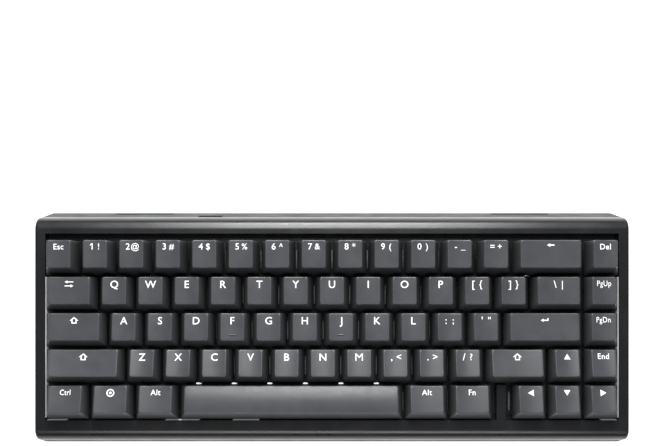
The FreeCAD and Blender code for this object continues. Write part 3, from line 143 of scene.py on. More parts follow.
def lay_out():
    """Every key as (row name, body, units, legend, x, y), its middle at x, y on the deck."""
    keys = []
    for step, (row, entries) in enumerate(LAYOUT.items()):
        left = -8.0
        for body, units, *legends in entries:
            for legend in legends:
                if body != "gap":
                    keys.append((row, body, units, legend, (left + units / 2) * PITCH, (2 - step) * PITCH))
                left += units
    return keys


KEYS = lay_out()
print("keys:", len(KEYS), "bodies with keys:", len({k[1] for k in KEYS}))

# %% [markdown]
# ## The shape of a cap
#
# A cap is a thin plastic shell. Its foot is a rounded rectangle, its top a smaller one that leans to the
# back and is tipped by a different angle in each row, so that a finger meets every row at a good angle.
# A shell like this could be a cube with bevels, but the dish and the skirt then fight over the same
# bevel. Here it is a stack of closed outlines, each with the same number of points, skinned from the
# middle of the top, over the edge, down the wall, round the foot and up the inside to the roof.

# %% Sizes of a cap
KEY_GAP = 0.94 * MM
SKIRT = 6.1 * MM
NARROWING, SHORTENING, LEAN = 5.7 * MM, 3.7 * MM, 1.75 * MM
WALL, ROOF = 1.5 * MM, 0.95 * MM
DISH, DISH_OVERRUN = 0.7 * MM, 0.4 * MM
CROWN = 1.1 * MM
TOP_CORNER, FOOT_CORNER = 1.1 * MM, 0.88 * MM
EDGE = 0.5 * MM
CAP_HEIGHT = {"number": 9.8 * MM, "upper": 7.45 * MM, "home": 6.55 * MM,
              "lower": 6.7 * MM, "space": 6.7 * MM}
CAP_TILT = {"number": 0.0, "upper": math.radians(2.5), "home": math.radians(5.0),
            "lower": math.radians(11.5), "space": math.radians(11.5)}


# %% An outline with a fixed number of points
def outline(half_x, half_y, corner, steps_x, steps_y=8, steps_round=5):
    """A rounded rectangle as one loop of points, counter-clockwise from the back of the right side.

    Each corner is an arc of steps_round + 1 points about (half - corner), and each side has evenly spaced
    points between its arcs, so loops of different size have points that match one to one.
    """
    turn = np.linspace(0, math.pi / 2, steps_round + 1)
    loop = []
    for quarter, (sign_x, sign_y) in enumerate(((1, 1), (-1, 1), (-1, -1), (1, -1))):
        angle = turn + quarter * math.pi / 2
        arc = np.stack([sign_x * (half_x - corner) + corner * np.cos(angle),
                        sign_y * (half_y - corner) + corner * np.sin(angle)], axis=1)
        next_x, next_y = ((-1, 1), (-1, -1), (1, -1), (1, 1))[quarter]
        angle = (quarter + 1) * math.pi / 2
        goal = np.array([next_x * (half_x - corner) + corner * math.cos(angle),
                         next_y * (half_y - corner) + corner * math.sin(angle)])
        count = steps_x if quarter % 2 == 0 else steps_y
        share = np.linspace(0, 1, count + 1)[1:-1, None]
        loop += [arc, arc[-1] * (1 - share) + goal * share]
    return np.concatenate(loop)


def skin(rings, first_pole, last_pole):
    """Faces over a stack of equal loops, closed by a fan at each end. Returns points and face lists.

    With the loops counter-clockwise and stacked from the outside of the top downwards, the faces point out.
    """
    stack = np.asarray(rings)
    count, size = stack.shape[:2]
    points = np.concatenate([stack.reshape(-1, 3), [first_pole, last_pole]])
    at = np.arange(count * size).reshape(count, size)
    after = np.roll(at, -1, axis=1)
    quads = np.stack([at[:-1], at[1:], after[1:], after[:-1]], axis=-1).reshape(-1, 4)
    top_fan = np.stack([np.full(size, count * size), at[0], after[0]], axis=-1)
    low_fan = np.stack([np.full(size, count * size + 1), after[-1], at[-1]], axis=-1)
    return points, [quads, top_fan, low_fan]


print("points in a one-unit outline:", len(outline(6, 6, 1, 10)))


# %% The dished or crowned top
def top_sag(across, along, half_top, crowned):
    """Height of the cap's surface over the plane of its top edge.

    A dish is a cylinder along Y: R - sqrt(R^2 - x^2) - depth, with R chosen so that it reaches zero just
    past the sides. The space bar is arched from front to back instead: sqrt(R^2 - y^2) - R.
    """
    if crowned:
        radius = (PITCH ** 2 / 4 + CROWN ** 2) / (2 * CROWN)
        return np.sqrt(radius ** 2 - along ** 2) - radius
    reach = half_top + DISH_OVERRUN
    radius = (reach ** 2 + DISH ** 2) / (2 * DISH)
    return radius - np.sqrt(radius ** 2 - across ** 2) - DISH


def on_top(across, along, rise, row):
    """A place over the cap's top: across and along in its plane, rise square to it, as cap coordinates."""
    tilt = CAP_TILT[row]
    y = LEAN + along * math.cos(tilt) + rise * math.sin(tilt)
    z = SKIRT + CAP_HEIGHT[row] - along * math.sin(tilt) + rise * math.cos(tilt)
    return np.stack([across, y, z], axis=-1)


dish_reach = (PITCH - KEY_GAP - NARROWING) / 2 + DISH_OVERRUN
print("dish radius of a one-unit cap in mm:", round((dish_reach ** 2 + DISH ** 2) / (2 * DISH) / MM, 1))


# %% The whole shell
def cap_shell(row, units):
    """Loops of one cap from the middle of its top to the middle of its inner roof, as skin() wants them.

    Top: outlines scaled by f. Edge: a quadratic curve from the top to the wall with the sharp corner as
    its control point. Wall and inside: straight lines between a foot outline and a top outline.
    """
    crowned = row == "space" and units > 2
    foot_x, foot_y = (units * PITCH - KEY_GAP) / 2, (PITCH - KEY_GAP) / 2
    top_x, top_y = foot_x - NARROWING / 2, foot_y - SHORTENING / 2
    steps_x = int(8 + 6 * units)

    def top_loop(inset, scale=1.0, drop=0.0):
        flat = outline(top_x - inset, top_y - inset, TOP_CORNER - inset / 3, steps_x) * scale
        rise = top_sag(flat[:, 0], flat[:, 1], top_x, crowned) - drop
        return on_top(flat[:, 0], flat[:, 1], rise, row)

    def foot_loop(inset, rise=0.0):
        flat = outline(foot_x - inset, foot_y - inset, FOOT_CORNER - inset / 3, steps_x)
        return np.column_stack([flat, np.full(len(flat), SKIRT + rise)])

    sharp, foot = top_loop(0), foot_loop(0)
    start = top_loop(EDGE)
    rings = [top_loop(EDGE, f) for f in (0.2, 0.45, 0.7, 0.87, 0.96)] + [start]
    end = sharp + (foot - sharp) * (EDGE / np.linalg.norm(foot - sharp, axis=1))[:, None]
    for s in (0.2, 0.4, 0.6, 0.8):
        rings.append((1 - s) ** 2 * start + 2 * s * (1 - s) * sharp + s ** 2 * end)
    rings += [end + (foot - end) * s for s in (0, 0.2, 0.4, 0.6, 0.8, 0.96)]
    lip = 0.12 * MM
    rings += [foot_loop(lip * 0.3, lip * 0.05), foot_loop(lip), foot_loop(WALL - lip)]
    inner_foot = foot_loop(WALL, lip)
    inner_top = top_loop(WALL, 1.0, ROOF + 0.1 * MM)
    rings += [inner_foot + (inner_top - inner_foot) * s for s in (0, 0.5, 0.95)]
    rings += [top_loop(WALL + 0.3 * MM, f, ROOF) for f in (0.95, 0.5)]
    middle = top_sag(np.zeros(1), np.zeros(1), top_x, crowned)
    crest = on_top(np.zeros(1), np.zeros(1), middle, row)[0]
    ceiling = on_top(np.zeros(1), np.zeros(1), middle - ROOF, row)[0]
    return skin(rings, crest, ceiling)


print("one-unit cap:", len(cap_shell("home", 1)[0]), "points")

# %% [markdown]
# ## Stem sockets and sliders
#
# Under the roof a round socket takes the cross of the switch, and the long caps have two more for the
# stabilisers. The slider under it is a block with that cross on top and a bore below. The bore has its
# points at the angles of the block's outline, so it is a many-sided hole and not a true circle, and its
# flats come closer to the middle than its corners. All are closed shells, again made
# from matching loops: a cross is a loop of corner points, and the round loop beside it has its points at
# the same angles, so that the two skin together cleanly.

# %% Cross-shaped loops
CROSS_SPAN, CROSS_BLADE, CROSS_HEIGHT = 4.0 * MM, 1.2 * MM, 3.6 * MM
SOCKET_MOUTH, SHOULDER = 6.7 * MM, 6.65 * MM
SPRING_BORE, SPRING_BORE_DEPTH = 4.5 * MM, 3.4 * MM
NEAR_STABILISER, FAR_STABILISER = 11.94 * MM, 50.0 * MM


def cross_loop(span, blade):
    """The twelve corners of a cross and the middles of its sides, counter-clockwise, as (x, y)."""
    a, b = span / 2, blade / 2
    quarter = np.array([(a, -b), (a, b), (b, b)])
    turns = [np.array([(math.cos(t), math.sin(t)), (-math.sin(t), math.cos(t))])
             for t in np.arange(4) * math.pi / 2]
    corners = np.concatenate([quarter @ t for t in turns])
    middles = (corners + np.roll(corners, -1, axis=0)) / 2
    return np.stack([corners, middles], axis=1).reshape(-1, 2)


def level(loop, z):
    """A flat loop lifted to height z."""
    return np.column_stack([loop, np.full(len(loop), z)])


def round_loop(diameter, like):
    """A circle with a point at the angle of each point of another loop."""
    angle = np.arctan2(like[:, 1], like[:, 0])
    return np.stack([np.cos(angle), np.sin(angle)], axis=1) * diameter / 2


def socket(diameter, top):
    """A round tube, closed above, with a cross-shaped bore from below."""
    bore = cross_loop(CROSS_SPAN + 0.08 * MM, CROSS_BLADE + 0.08 * MM)
    ring = round_loop(diameter, bore)
    rings = [level(ring, top), level(ring, SOCKET_MOUTH + 0.2 * MM), level(ring * 0.97, SOCKET_MOUTH),
             level(bore, SOCKET_MOUTH), level(bore, SHOULDER + CROSS_HEIGHT + 0.2 * MM)]
    return skin(rings, (0, 0, top), (0, 0, SHOULDER + CROSS_HEIGHT + 0.2 * MM))


def block(half_x, half_y, low, high, corner=0.3 * MM):
    """A post with rounded corners and softened ends."""
    def loop(inset, z):
        return level(outline(half_x - inset, half_y - inset, corner, 2, 2, 3), z)
    soft = 0.15 * MM
    rings = [loop(soft, high), loop(0, high - soft), loop(0, low + soft), loop(soft, low)]
    return skin(rings, (0, 0, high), (0, 0, low))


def bored_block(half_x, half_y, low, high, bore, depth):
    """A post with a round bore up from its foot, as deep as given, for the switch's spring."""
    def loop(inset, z):
        return level(outline(half_x - inset, half_y - inset, 0.3 * MM, 2, 2, 3), z)
    soft = 0.15 * MM
    hole = round_loop(bore, loop(0, 0)[:, :2])
    rings = [loop(soft, high), loop(0, high - soft), loop(0, low + soft), loop(soft, low),
             level(hole, low), level(hole, low + depth)]
    return skin(rings, (0, 0, high), (0, 0, low + depth))


def stem_cross(low, high):
    """The cross on a slider, its tip drawn in a little so that the cap slips on."""
    loop = cross_loop(CROSS_SPAN, CROSS_BLADE)
    rings = [level(loop * 0.93, high), level(loop, high - 0.3 * MM), level(loop, low)]
    return skin(rings, (0, 0, high), (0, 0, low))


def stabiliser_reaches(row, units):
    """Where a cap has its extra sockets, from its middle."""
    if units < 2:
        return ()
    reach = FAR_STABILISER if row == "space" else NEAR_STABILISER
    return (-reach, reach)


print("loop of a cross:", len(cross_loop(4, 1)), "points")

# %% [markdown]
# ## Legends
#
# The legends of a moulded cap are a second, pale plastic that comes through the dark one, so they are
# smooth, crisp and follow the dish. A picture on the cap would blur close up. Here each sign is a thin
# solid that is bent over the dish and stands a few hundredths of a millimetre proud. Letters come from
# the built-in font, made slightly bold, and the arrows and marks are drawn as strokes.

# %% Letters as flat solids
PROUD, BURIED = 0.03 * MM, 0.12 * MM
CAPITAL = 0.69


def letters(text, height, bold, squeeze=1.0):
    """A word as (points, faces) with its capitals of that height, centred on X and Y, z from 0 to 1."""
    curve = bpy.data.curves.new("sign", "FONT")
    curve.body, curve.align_x = text, "CENTER"
    curve.size, curve.offset, curve.extrude, curve.resolution_u = 1.0, bold, 0.5, 3
    curve.space_character = 1.06
    thing = bpy.data.objects.new("sign", curve)
    bpy.context.scene.collection.objects.link(thing)
    bpy.context.view_layer.update()
    mesh = bpy.data.meshes.new_from_object(thing.evaluated_get(bpy.context.evaluated_depsgraph_get()))
    points = np.empty(len(mesh.vertices) * 3)
    mesh.vertices.foreach_get("co", points)
    faces = [tuple(p.vertices) for p in mesh.polygons]
    bpy.data.objects.remove(thing)
    bpy.data.curves.remove(curve)
    bpy.data.meshes.remove(mesh)
    points = points.reshape(-1, 3)
    capital = CAPITAL + 2 * bold
    points[:, 0] *= squeeze * height / capital
    points[:, 1] = (points[:, 1] + bold) * height / capital - height / 2
    points[:, 2] += 0.5
    return points, faces


def figure_one(height, stroke):
    """A 1 with a flag, counter-clockwise: an upright bar whose top corner runs down to the left."""
    h, s = height / 2, stroke / 2
    flag = height * 0.26
    return plate_of([(-s, -h), (s, -h), (s, h), (-s, h), (-s - flag, h - flag * 0.8),
                     (-s - flag, h - flag * 1.5), (-s, h - flag * 0.8)])


def letter_m(height, stroke):
    """An M as one outline: two upright bars and a V between them, whose strokes are cut level."""
    h, w, s = height / 2, height * 0.5, stroke
    cut, v = stroke * 1.6, -height * 0.14
    return plate_of([(-w, -h), (s - w, -h), (s - w, h - cut), (0, v), (w - s, h - cut), (w - s, -h),
                     (w, -h), (w, h), (w - s, h), (0, v + cut), (s - w, h), (-w, h)])


def middle_x(sign, x):
    """A sign moved so that its middle is at x."""
    points, faces = sign
    points = points.copy()
    points[:, 0] += x - (points[:, 0].min() + points[:, 0].max()) / 2
    return points, faces


print("letter Q:", len(letters("Q", 4 * MM, 0.02)[0]), "points")


# %% Strokes and filled marks
def plate_of(loop):
    """A filled outline, given counter-clockwise, as a flat solid with z from 0 to 1."""
    loop = np.asarray(loop, float)
    size = len(loop)
    points = np.concatenate([np.column_stack([loop, np.ones(size)]), np.column_stack([loop, np.zeros(size)])])
    sides = [(k, size + k, size + (k + 1) % size, (k + 1) % size) for k in range(size)]
    return points, [tuple(range(size)), tuple(range(2 * size - 1, size - 1, -1))] + sides


def frame_of(loop, width):
    """A closed line of that width along an outline: each corner moves in along its mitre."""
    loop = np.asarray(loop, float)
    size = len(loop)
    ahead = np.roll(loop, -1, axis=0) - loop
    ahead /= np.linalg.norm(ahead, axis=1)[:, None]
    behind = np.roll(ahead, 1, axis=0)
    normal = np.stack([-ahead[:, 1] - behind[:, 1], ahead[:, 0] + behind[:, 0]], axis=1)
    mitre = normal / (1 + (ahead * behind).sum(1))[:, None]
    inner = loop + mitre * width
    points = np.concatenate([np.column_stack([p, np.full(size, z)]) for z in (1, 0) for p in (loop, inner)])
    faces = []
    for k in range(size):
        m = (k + 1) % size
        faces += [(k, m, size + m, size + k), (2 * size + k, 3 * size + k, 3 * size + m, 2 * size + m),
                  (k, 2 * size + k, 2 * size + m, m), (size + k, size + m, 3 * size + m, 3 * size + k)]
    return points, faces


def joined(*signs):
    """Several solids as one."""
    points, faces, start = [], [], 0
    for part_points, part_faces in signs:
        points.append(part_points)
        faces += [tuple(start + v for v in face) for face in part_faces]
        start += len(part_points)
    return np.concatenate(points), faces


def bar(x0, y0, x1, y1):
    """A filled rectangle."""
    return plate_of([(x0, y0), (x1, y0), (x1, y1), (x0, y1)])


def arrow_left(length, head, line):
    """A thin arrow that points left: a triangle and a bar, meeting a little inside the triangle."""
    half = length / 2
    return joined(plate_of([(-half, 0), (-half + head, -head * 0.55), (-half + head, head * 0.55)]),
                  bar(-half + head * 0.8, -line / 2, half, line / 2))


def lifted(sign, y):
    """A sign moved along Y."""
    return sign[0] + (0, y, 0), sign[1]


def turned(sign):
    """A sign turned half round in its own plane."""
    return sign[0] * (-1, -1, 1), sign[1]


def up_outline(width, height, shaft):
    """Corners of an upward block arrow, counter-clockwise from the foot of its shaft."""
    w, h, s = width / 2, height / 2, shaft / 2
    return [(-s, -h), (s, -h), (s, -h * 0.1), (w, -h * 0.1), (0, h), (-w, -h * 0.1), (-s, -h * 0.1)]


def ring_mark(radius, width, around=24):
    """A plain ring with a dot in it, which stands for the system key."""
    angle = np.linspace(0, 2 * math.pi, around, endpoint=False)
    circle = np.stack([np.cos(angle), np.sin(angle)], axis=1)
    return joined(frame_of(circle * radius, width), plate_of(circle * radius * 0.34))


MARKS = {
    "<back>": arrow_left(3.9 * MM, 1.7 * MM, 0.62 * MM),
    "<enter>": joined(arrow_left(4.1 * MM, 1.5 * MM, 0.55 * MM),
                      bar(1.5 * MM, 0.1 * MM, 2.05 * MM, 1.15 * MM)),
    "<tab>": joined(lifted(arrow_left(4.6 * MM, 1.5 * MM, 0.5 * MM), 1.05 * MM),
                    lifted(turned(arrow_left(4.6 * MM, 1.5 * MM, 0.5 * MM)), -1.05 * MM)),
    "<caps>": frame_of(up_outline(4.7 * MM, 3.5 * MM, 2.7 * MM), 0.58 * MM),
    "<shift>": frame_of(up_outline(4.7 * MM, 3.7 * MM, 2.7 * MM), 0.6 * MM),
    "<ring>": ring_mark(2.1 * MM, 0.62 * MM),
    "<up>": plate_of([(-1.7 * MM, -1.4 * MM), (1.7 * MM, -1.4 * MM), (0, 1.5 * MM)]),
    "<down>": plate_of([(-1.7 * MM, 1.5 * MM), (0, -1.4 * MM), (1.7 * MM, 1.5 * MM)]),
    "<left>": plate_of([(-1.6 * MM, 0), (1.5 * MM, -1.75 * MM), (1.5 * MM, 1.75 * MM)]),
    "<right>": plate_of([(1.6 * MM, 0), (-1.5 * MM, 1.75 * MM), (-1.5 * MM, -1.75 * MM)]),
}
print("drawn marks:", len(MARKS))


# %% Put a legend on its cap
def legend_sign(row, legend):
    """(sign, distance of its middle from the top's back edge) for a legend."""
    if legend in MARKS:
        return MARKS[legend], {"number": 2.6 * MM}.get(row, 3.7 * MM)
    if " " in legend:
        low, high = legend.split(" ")
        spread = 1.9 * MM
        tall = 3.3 * MM if row == "number" else 3.7 * MM
        first = figure_one(tall, 0.5 * MM) if low == "1" else letters(low, tall, 0.006)
        pair = (middle_x(first, -spread), middle_x(letters(high, tall * 0.95, 0.004), spread))
        return joined(*pair), 3.3 * MM if row == "number" else 3.8 * MM
    if len(legend) > 1:
        tall, squeeze = (2.9 * MM, 0.82) if len(legend) > 3 else (3.0 * MM, 0.95)
        return middle_x(letters(legend, tall, 0.0 if "g" in legend else 0.008, squeeze), 0), 3.4 * MM
    drawn = letter_m(3.9 * MM, 0.52 * MM) if legend == "M" else letters(legend, 3.9 * MM, 0.008)
    return middle_x(drawn, 0), 3.9 * MM


def laid_on(sign, setback, row, units):
    """A flat sign bent over a cap's dish: z 0 goes just under the surface and z 1 just over it."""
    points, faces = sign
    half_x, half_y = ((units * PITCH - KEY_GAP) - NARROWING) / 2, (PITCH - KEY_GAP - SHORTENING) / 2
    along = points[:, 1] + half_y - setback
    rise = top_sag(points[:, 0], along, half_x, False) - BURIED + points[:, 2] * (BURIED + PROUD)
    return on_top(points[:, 0], along, rise, row), faces


print("legend height over the cap in mm:", PROUD / MM)

# %% [markdown]
# ## Finishes
#
# Everything here is moulded plastic, painted or bare steel, or rubber, and each has a texture at its own
# scale: a moulded cap is finely sandblasted, so it is dull with a soft sheen, and the tops are polished a
# little by fingers. The caps' colour is also darkened down their walls, a painted shade. The case is smoother
# and darker. Each finish is one Principled shader. What is the same all over is set on its sockets, and slow
# and fine noise drives the colour, the gloss and the bump.


# %% A finish with grain and mottling
SKIRT_ROUGHNESS = 0.6
WHITE = (1.0, 1.0, 1.0, 1.0)


def finish(name, dark, light, rough, patch=120.0, grain=2500.0, bump=0.1, painted_skirt_shade=None, **sockets):
    """A material whose colour drifts between two tones, whose gloss drifts between two values, with grain.

    colour = mix(dark, light, noise at patch), roughness = map of a second noise, height = noise at grain.
    Given a share for the painted skirt shade, the colour falls to that share of itself where the piece's own
    skirt attribute nears 1, which paints shade on the lower walls of a cap; there the gloss also falls to a
    dull
    SKIRT_ROUGHNESS, because fingers polish a cap's top but not its skirt.
    """
    material = bpy.data.materials.new(name)
    material.use_nodes = True
    nodes, links = material.node_tree.nodes, material.node_tree.links
    shader = nodes["Principled BSDF"]
    for socket, value in sockets.items():
        shader.inputs[socket.replace("_", " ")].default_value = value
    place = nodes.new("ShaderNodeTexCoord")

    def noise(scale, detail):
        made = nodes.new("ShaderNodeTexNoise")
        made.inputs["Scale"].default_value = scale
        made.inputs["Detail"].default_value = detail
        links.new(place.outputs["Object"], made.inputs["Vector"])
        return made.outputs["Fac"]

    tones = nodes.new("ShaderNodeValToRGB")
    tones.color_ramp.elements[0].position, tones.color_ramp.elements[1].position = 0.35, 0.65
    tones.color_ramp.elements[0].color, tones.color_ramp.elements[1].color = (*dark, 1), (*light, 1)
    links.new(noise(patch, 3.0), tones.inputs["Fac"])
    if painted_skirt_shade is None:
        links.new(tones.outputs["Color"], shader.inputs["Base Color"])
    else:
        skirt = nodes.new("ShaderNodeAttribute")
        skirt.attribute_name = "skirt"
        share = nodes.new("ShaderNodeMapRange")
        share.inputs["To Min"].default_value, share.inputs["To Max"].default_value = 1.0, painted_skirt_shade
        links.new(skirt.outputs["Fac"], share.inputs["Value"])
        shade = nodes.new("ShaderNodeVectorMath")
        shade.operation = "SCALE"
        links.new(tones.outputs["Color"], shade.inputs[0])
        links.new(share.outputs["Result"], shade.inputs["Scale"])
        links.new(shade.outputs["Vector"], shader.inputs["Base Color"])
    gloss = nodes.new("ShaderNodeMapRange")
    gloss.inputs["From Min"].default_value, gloss.inputs["From Max"].default_value = 0.3, 0.7
    gloss.inputs["To Min"].default_value, gloss.inputs["To Max"].default_value = rough
    links.new(noise(patch * 2.3, 2.0), gloss.inputs["Value"])
    if painted_skirt_shade is None:
        links.new(gloss.outputs["Result"], shader.inputs["Roughness"])
    else:
        duller = nodes.new("ShaderNodeMapRange")
        duller.inputs["To Max"].default_value = SKIRT_ROUGHNESS
        links.new(skirt.outputs["Fac"], duller.inputs["Value"])
        links.new(gloss.outputs["Result"], duller.inputs["To Min"])
        links.new(duller.outputs["Result"], shader.inputs["Roughness"])
    relief = nodes.new("ShaderNodeBump")
    relief.inputs["Strength"].default_value = bump
    relief.inputs["Distance"].default_value = 0.05 * MM
    links.new(noise(grain, 2.0), relief.inputs["Height"])
    links.new(relief.outputs["Normal"], shader.inputs["Normal"])
    return material


def grey(value, blue=0.0):
    """A near-neutral tone, a little cooler as blue grows."""
    return (value, value * (1 + blue * 0.3), value * (1 + blue))


FINISHES = {
    # The caps' walls are darkened to 0.12 of their tone towards the foot: a painted shade.
    "keycap_plastic": finish("moulded_cap", grey(0.047, 0.14), grey(0.056, 0.14), (0.29, 0.36),
                             90, 4200, 0.1, painted_skirt_shade=0.12, Specular_IOR_Level=0.4),
    "case_plastic": finish("satin_case", grey(0.0075, 0.25), grey(0.0095, 0.25), (0.27, 0.33),
                           40, 3600, 0.015),
    "base_plastic": finish("matt_base", grey(0.006, 0.25), grey(0.0075, 0.25), (0.5, 0.6), 40, 2600, 0.12,
                           Specular_IOR_Level=0.25),
    "plate_steel": finish("lacquered_plate", grey(0.008, 0.1), grey(0.012, 0.1), (0.22, 0.34),
                          60, 2600, 0.05),
    "board_laminate": finish("board_lacquer", (0.004, 0.018, 0.01), (0.008, 0.03, 0.016), (0.25, 0.4),
                             300, 3000),
    "switch_cover": finish("clear_cover", grey(0.55), grey(0.7), (0.12, 0.2), 200, 2000, 0.03,
                           Transmission_Weight=0.85, IOR=1.49),
    "switch_base": finish("switch_base", grey(0.012), grey(0.018), (0.35, 0.5), 200, 3000),
    "spring_steel": finish("spring_wire", grey(0.5), grey(0.62), (0.2, 0.3), 400, 5000, 0.05, Metallic=1.0),
    "lamp_lens": finish("lamp_lens", grey(0.75), grey(0.85), (0.2, 0.3), 400, 3000, 0.03,
                        Emission_Color=WHITE, Emission_Strength=0.25),
    "socket_shell": finish("plated_shell", grey(0.55), grey(0.66), (0.18, 0.28), 300, 4000, 0.05,
                           Metallic=1.0),
    "chip_resin": finish("chip_resin", grey(0.01), grey(0.016), (0.5, 0.6), 300, 4000, 0.15),
    "screw_steel": finish("blackened_screw", grey(0.03), grey(0.05), (0.3, 0.4), 300, 4000, 0.08,
                          Metallic=1.0),
    "pad_rubber": finish("pad_rubber", grey(0.012), grey(0.02), (0.7, 0.85), 200, 1800, 0.3),
    "stabiliser_plastic": finish("stabiliser_plastic", grey(0.014), grey(0.02), (0.4, 0.5), 200, 3000),
    "wire_steel": finish("bent_wire", grey(0.45), grey(0.58), (0.2, 0.32), 300, 5000, 0.05, Metallic=1.0),
    "foot_plastic": finish("foot_plastic", grey(0.007, 0.15), grey(0.01, 0.15), (0.4, 0.5), 60, 3000, 0.1),
    "slider_plastic": finish("slider_plastic", (0.26, 0.05, 0.03), (0.32, 0.07, 0.04), (0.3, 0.4),
                             200, 3000),
    # The legends' pale colour is their own; their faint glow is painted light that stands for backlight through
    # the caps.
    "legend_plastic_and_painted_glow": finish("legend_plastic_and_painted_glow", grey(0.7), grey(0.78), (0.35, 0.45), 300, 3000, 0.03,
                             Emission_Color=WHITE, Emission_Strength=0.26),
    # Painted light: the ribs and windows glow though they are no lamps, standing for the lamps' light in the
    # gaps.
    "painted_rib_glow": finish("glowing_rib", grey(0.1), grey(0.14), (0.4, 0.5), 200, 3000, 0.03,
                           Emission_Color=WHITE, Emission_Strength=0.03),
    "spark_plastic": finish("glowing_window", grey(0.7), grey(0.8), (0.4, 0.5), 200, 3000, 0.03,
                            Emission_Color=WHITE, Emission_Strength=0.6),
    # Painted light: pale strips with a faint glow of their own, standing for the pale edge at the opening's
    # walls.
    "trim_plastic": finish("pale_trim", grey(0.6), grey(0.66), (0.4, 0.5), 200, 3000, 0.03,
                           Emission_Color=WHITE, Emission_Strength=0.12),
}
print("finishes:", len(FINISHES))

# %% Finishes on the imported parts
PACKED = {
    "case_plastic": ("top_case", "bottom_case"), "plate_steel": ("switch_plate",),
    "board_laminate": ("circuit_board",), "switch_cover": ("switch_upper_housings",),
    "switch_base": ("switch_lower_housings",), "spring_steel": ("switch_springs",),
    "lamp_lens": ("led_lamps",),
    "socket_shell": ("usb_socket",), "chip_resin": ("controller_chips",),
    "screw_steel": ("case_screws", "plate_screws"), "pad_rubber": ("rubber_pads",),
    "stabiliser_plastic": ("stabiliser_housings",), "wire_steel": ("stabiliser_wires",),
    "foot_plastic": ("flip_foot_left", "flip_foot_right"),
}
for slot, nodes in PACKED.items():
    for node in nodes:
        part = frame["nodes"][node]
        if not part.material_slots:
            part.data.materials.append(None)
        for place in part.material_slots:
            place.material = FINISHES[slot]
print("packed parts with a finish:", sum(len(n) for n in PACKED.values()))

# %% [markdown]
# ## Smooth case mouldings
#
# The case's long rounded edges carry the brightest reflections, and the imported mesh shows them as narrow
# flats, because its triangles don't share their corners. Making the mouldings again by hand would risk
# their fit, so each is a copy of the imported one: its corners are merged, every edge sharper than a set
# angle stays crisp, and weighted normals keep the flat faces flat while the roundings flow.


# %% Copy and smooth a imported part
def smoothed(node, name, body, looks, crisp=32.0):
    """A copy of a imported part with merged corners, smooth below that angle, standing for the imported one."""
    mesh = frame["nodes"][node].data.copy()
    mesh.name = name
    shape = bmesh.new()
    shape.from_mesh(mesh)
    bmesh.ops.remove_doubles(shape, verts=shape.verts, dist=0.002 * MM)
    shape.to_mesh(mesh)
    shape.free()
    if mesh.has_custom_normals:
        mesh.attributes.remove(mesh.attributes["custom_normal"])
    mesh.shade_smooth()
    mesh.set_sharp_from_angle(angle=math.radians(crisp))
    mesh.materials.clear()
    mesh.materials.append(FINISHES[looks])
    piece = bpy.data.objects.new(name, mesh)
    bpy.context.scene.collection.objects.link(piece)
    weights = piece.modifiers.new("flat_faces", "WEIGHTED_NORMAL")
    weights.keep_sharp, weights.weight = True, 90
    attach(piece, body)
    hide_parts(node)
    return piece


for node, name, body, looks in (("top_case", "case_upper_shell", "case", "case_plastic"),
                                ("bottom_case", "case_lower_shell", "case", "base_plastic"),
                                ("flip_foot_left", "foot_shell_left", "foot_left", "foot_plastic"),
                                ("flip_foot_right", "foot_shell_right", "foot_right", "foot_plastic")):
    moulding = smoothed(node, name, body, looks)
    print(name, "triangles:", len(moulding.data.polygons))

# %% [markdown]
# ## Caps, legends and stems in place
#
# One piece per body holds its caps and another its legends, so that a scene can repaint either. The two
# caps of a paired body share a mesh, because they move together. Every point is worked out in the cap's
# own frame, moved to the key's place on the deck, and tipped with it.


# %% Put a piece into the scene
def put(name, body, solids, looks, smooth=True):
    """A mesh object from solids of (points on the deck, faces), riding on a body, with one finish."""
    points, faces, start = [], [], 0
    for part_points, part_faces in solids:
        points.append(part_points)
        for some in part_faces:
            rows = np.asarray(some) + start
            faces += rows.tolist() if rows.ndim == 2 else [rows.tolist()]
        start += len(part_points)
    mesh = bpy.data.meshes.new(name)
    mesh.from_pydata(tip(np.concatenate(points)), [], faces)
    mesh.materials.append(FINISHES[looks])
    mesh.polygons.foreach_set("use_smooth", np.full(len(mesh.polygons), smooth))
    piece = bpy.data.objects.new(name, mesh)
    bpy.context.scene.collection.objects.link(piece)
    if body:
        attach(piece, body)
    return piece


def mark_skirt(piece, row):
    """Stores how far each point of a cap is down its wall: 0 near the top, rising to 1 at the foot."""
    flat = np.empty(len(piece.data.vertices) * 3)
    piece.data.vertices.foreach_get("co", flat)
    x, y, z = flat.reshape(-1, 3).T
    height = -(y - DECK_Y) * math.sin(SLOPE) + (z - DECK_Z) * math.cos(SLOPE)
    rise = (height - SKIRT) / (CAP_HEIGHT[row] - DISH - 1.4 * MM)
    attribute = piece.data.attributes.new("skirt", "FLOAT", "POINT")
    attribute.data.foreach_set("value", np.clip(1.15 - rise, 0, 1).astype(np.float32))


def moved(solid, x, y):
    """A solid carried to a key's middle on the deck."""
    points, faces = solid
    return np.asarray(points) + (x, y, 0), faces


def homing_bar(row):
    """A small raised bar near the front of a home key: three shrinking outlines laid on the dish."""
    half_x = (PITCH - KEY_GAP - NARROWING) / 2
    rings = []
    for inset, rise in ((0.22, 0.35), (0.06, 0.28), (0, 0.12), (0, -0.2)):
        loop = outline((2.0 - inset) * MM, (0.4 - inset) * MM, (0.38 - inset) * MM, 6, 1, 4)
        along = loop[:, 1] - 4.2 * MM
        rings.append(on_top(loop[:, 0], along, top_sag(loop[:, 0], along, half_x, False) + rise * MM, row))
    ends = [on_top(np.zeros(1), np.full(1, -4.2 * MM), np.full(1, r * MM - DISH), row)[0]
            for r in (0.35, -0.2)]
    return skin(rings, *ends)


def key_solids(row, units, legend):
    """The shells of one cap: its skin, its sockets and, on two home keys, the bar."""
    roof = SKIRT + CAP_HEIGHT[row] - DISH - ROOF / 2
    solids = [cap_shell(row, units), socket(5.6 * MM, roof)]
    solids += [moved(socket(5.2 * MM, roof), reach, 0) for reach in stabiliser_reaches(row, units)]
    return solids + [homing_bar(row)] if legend in HOMING else solids


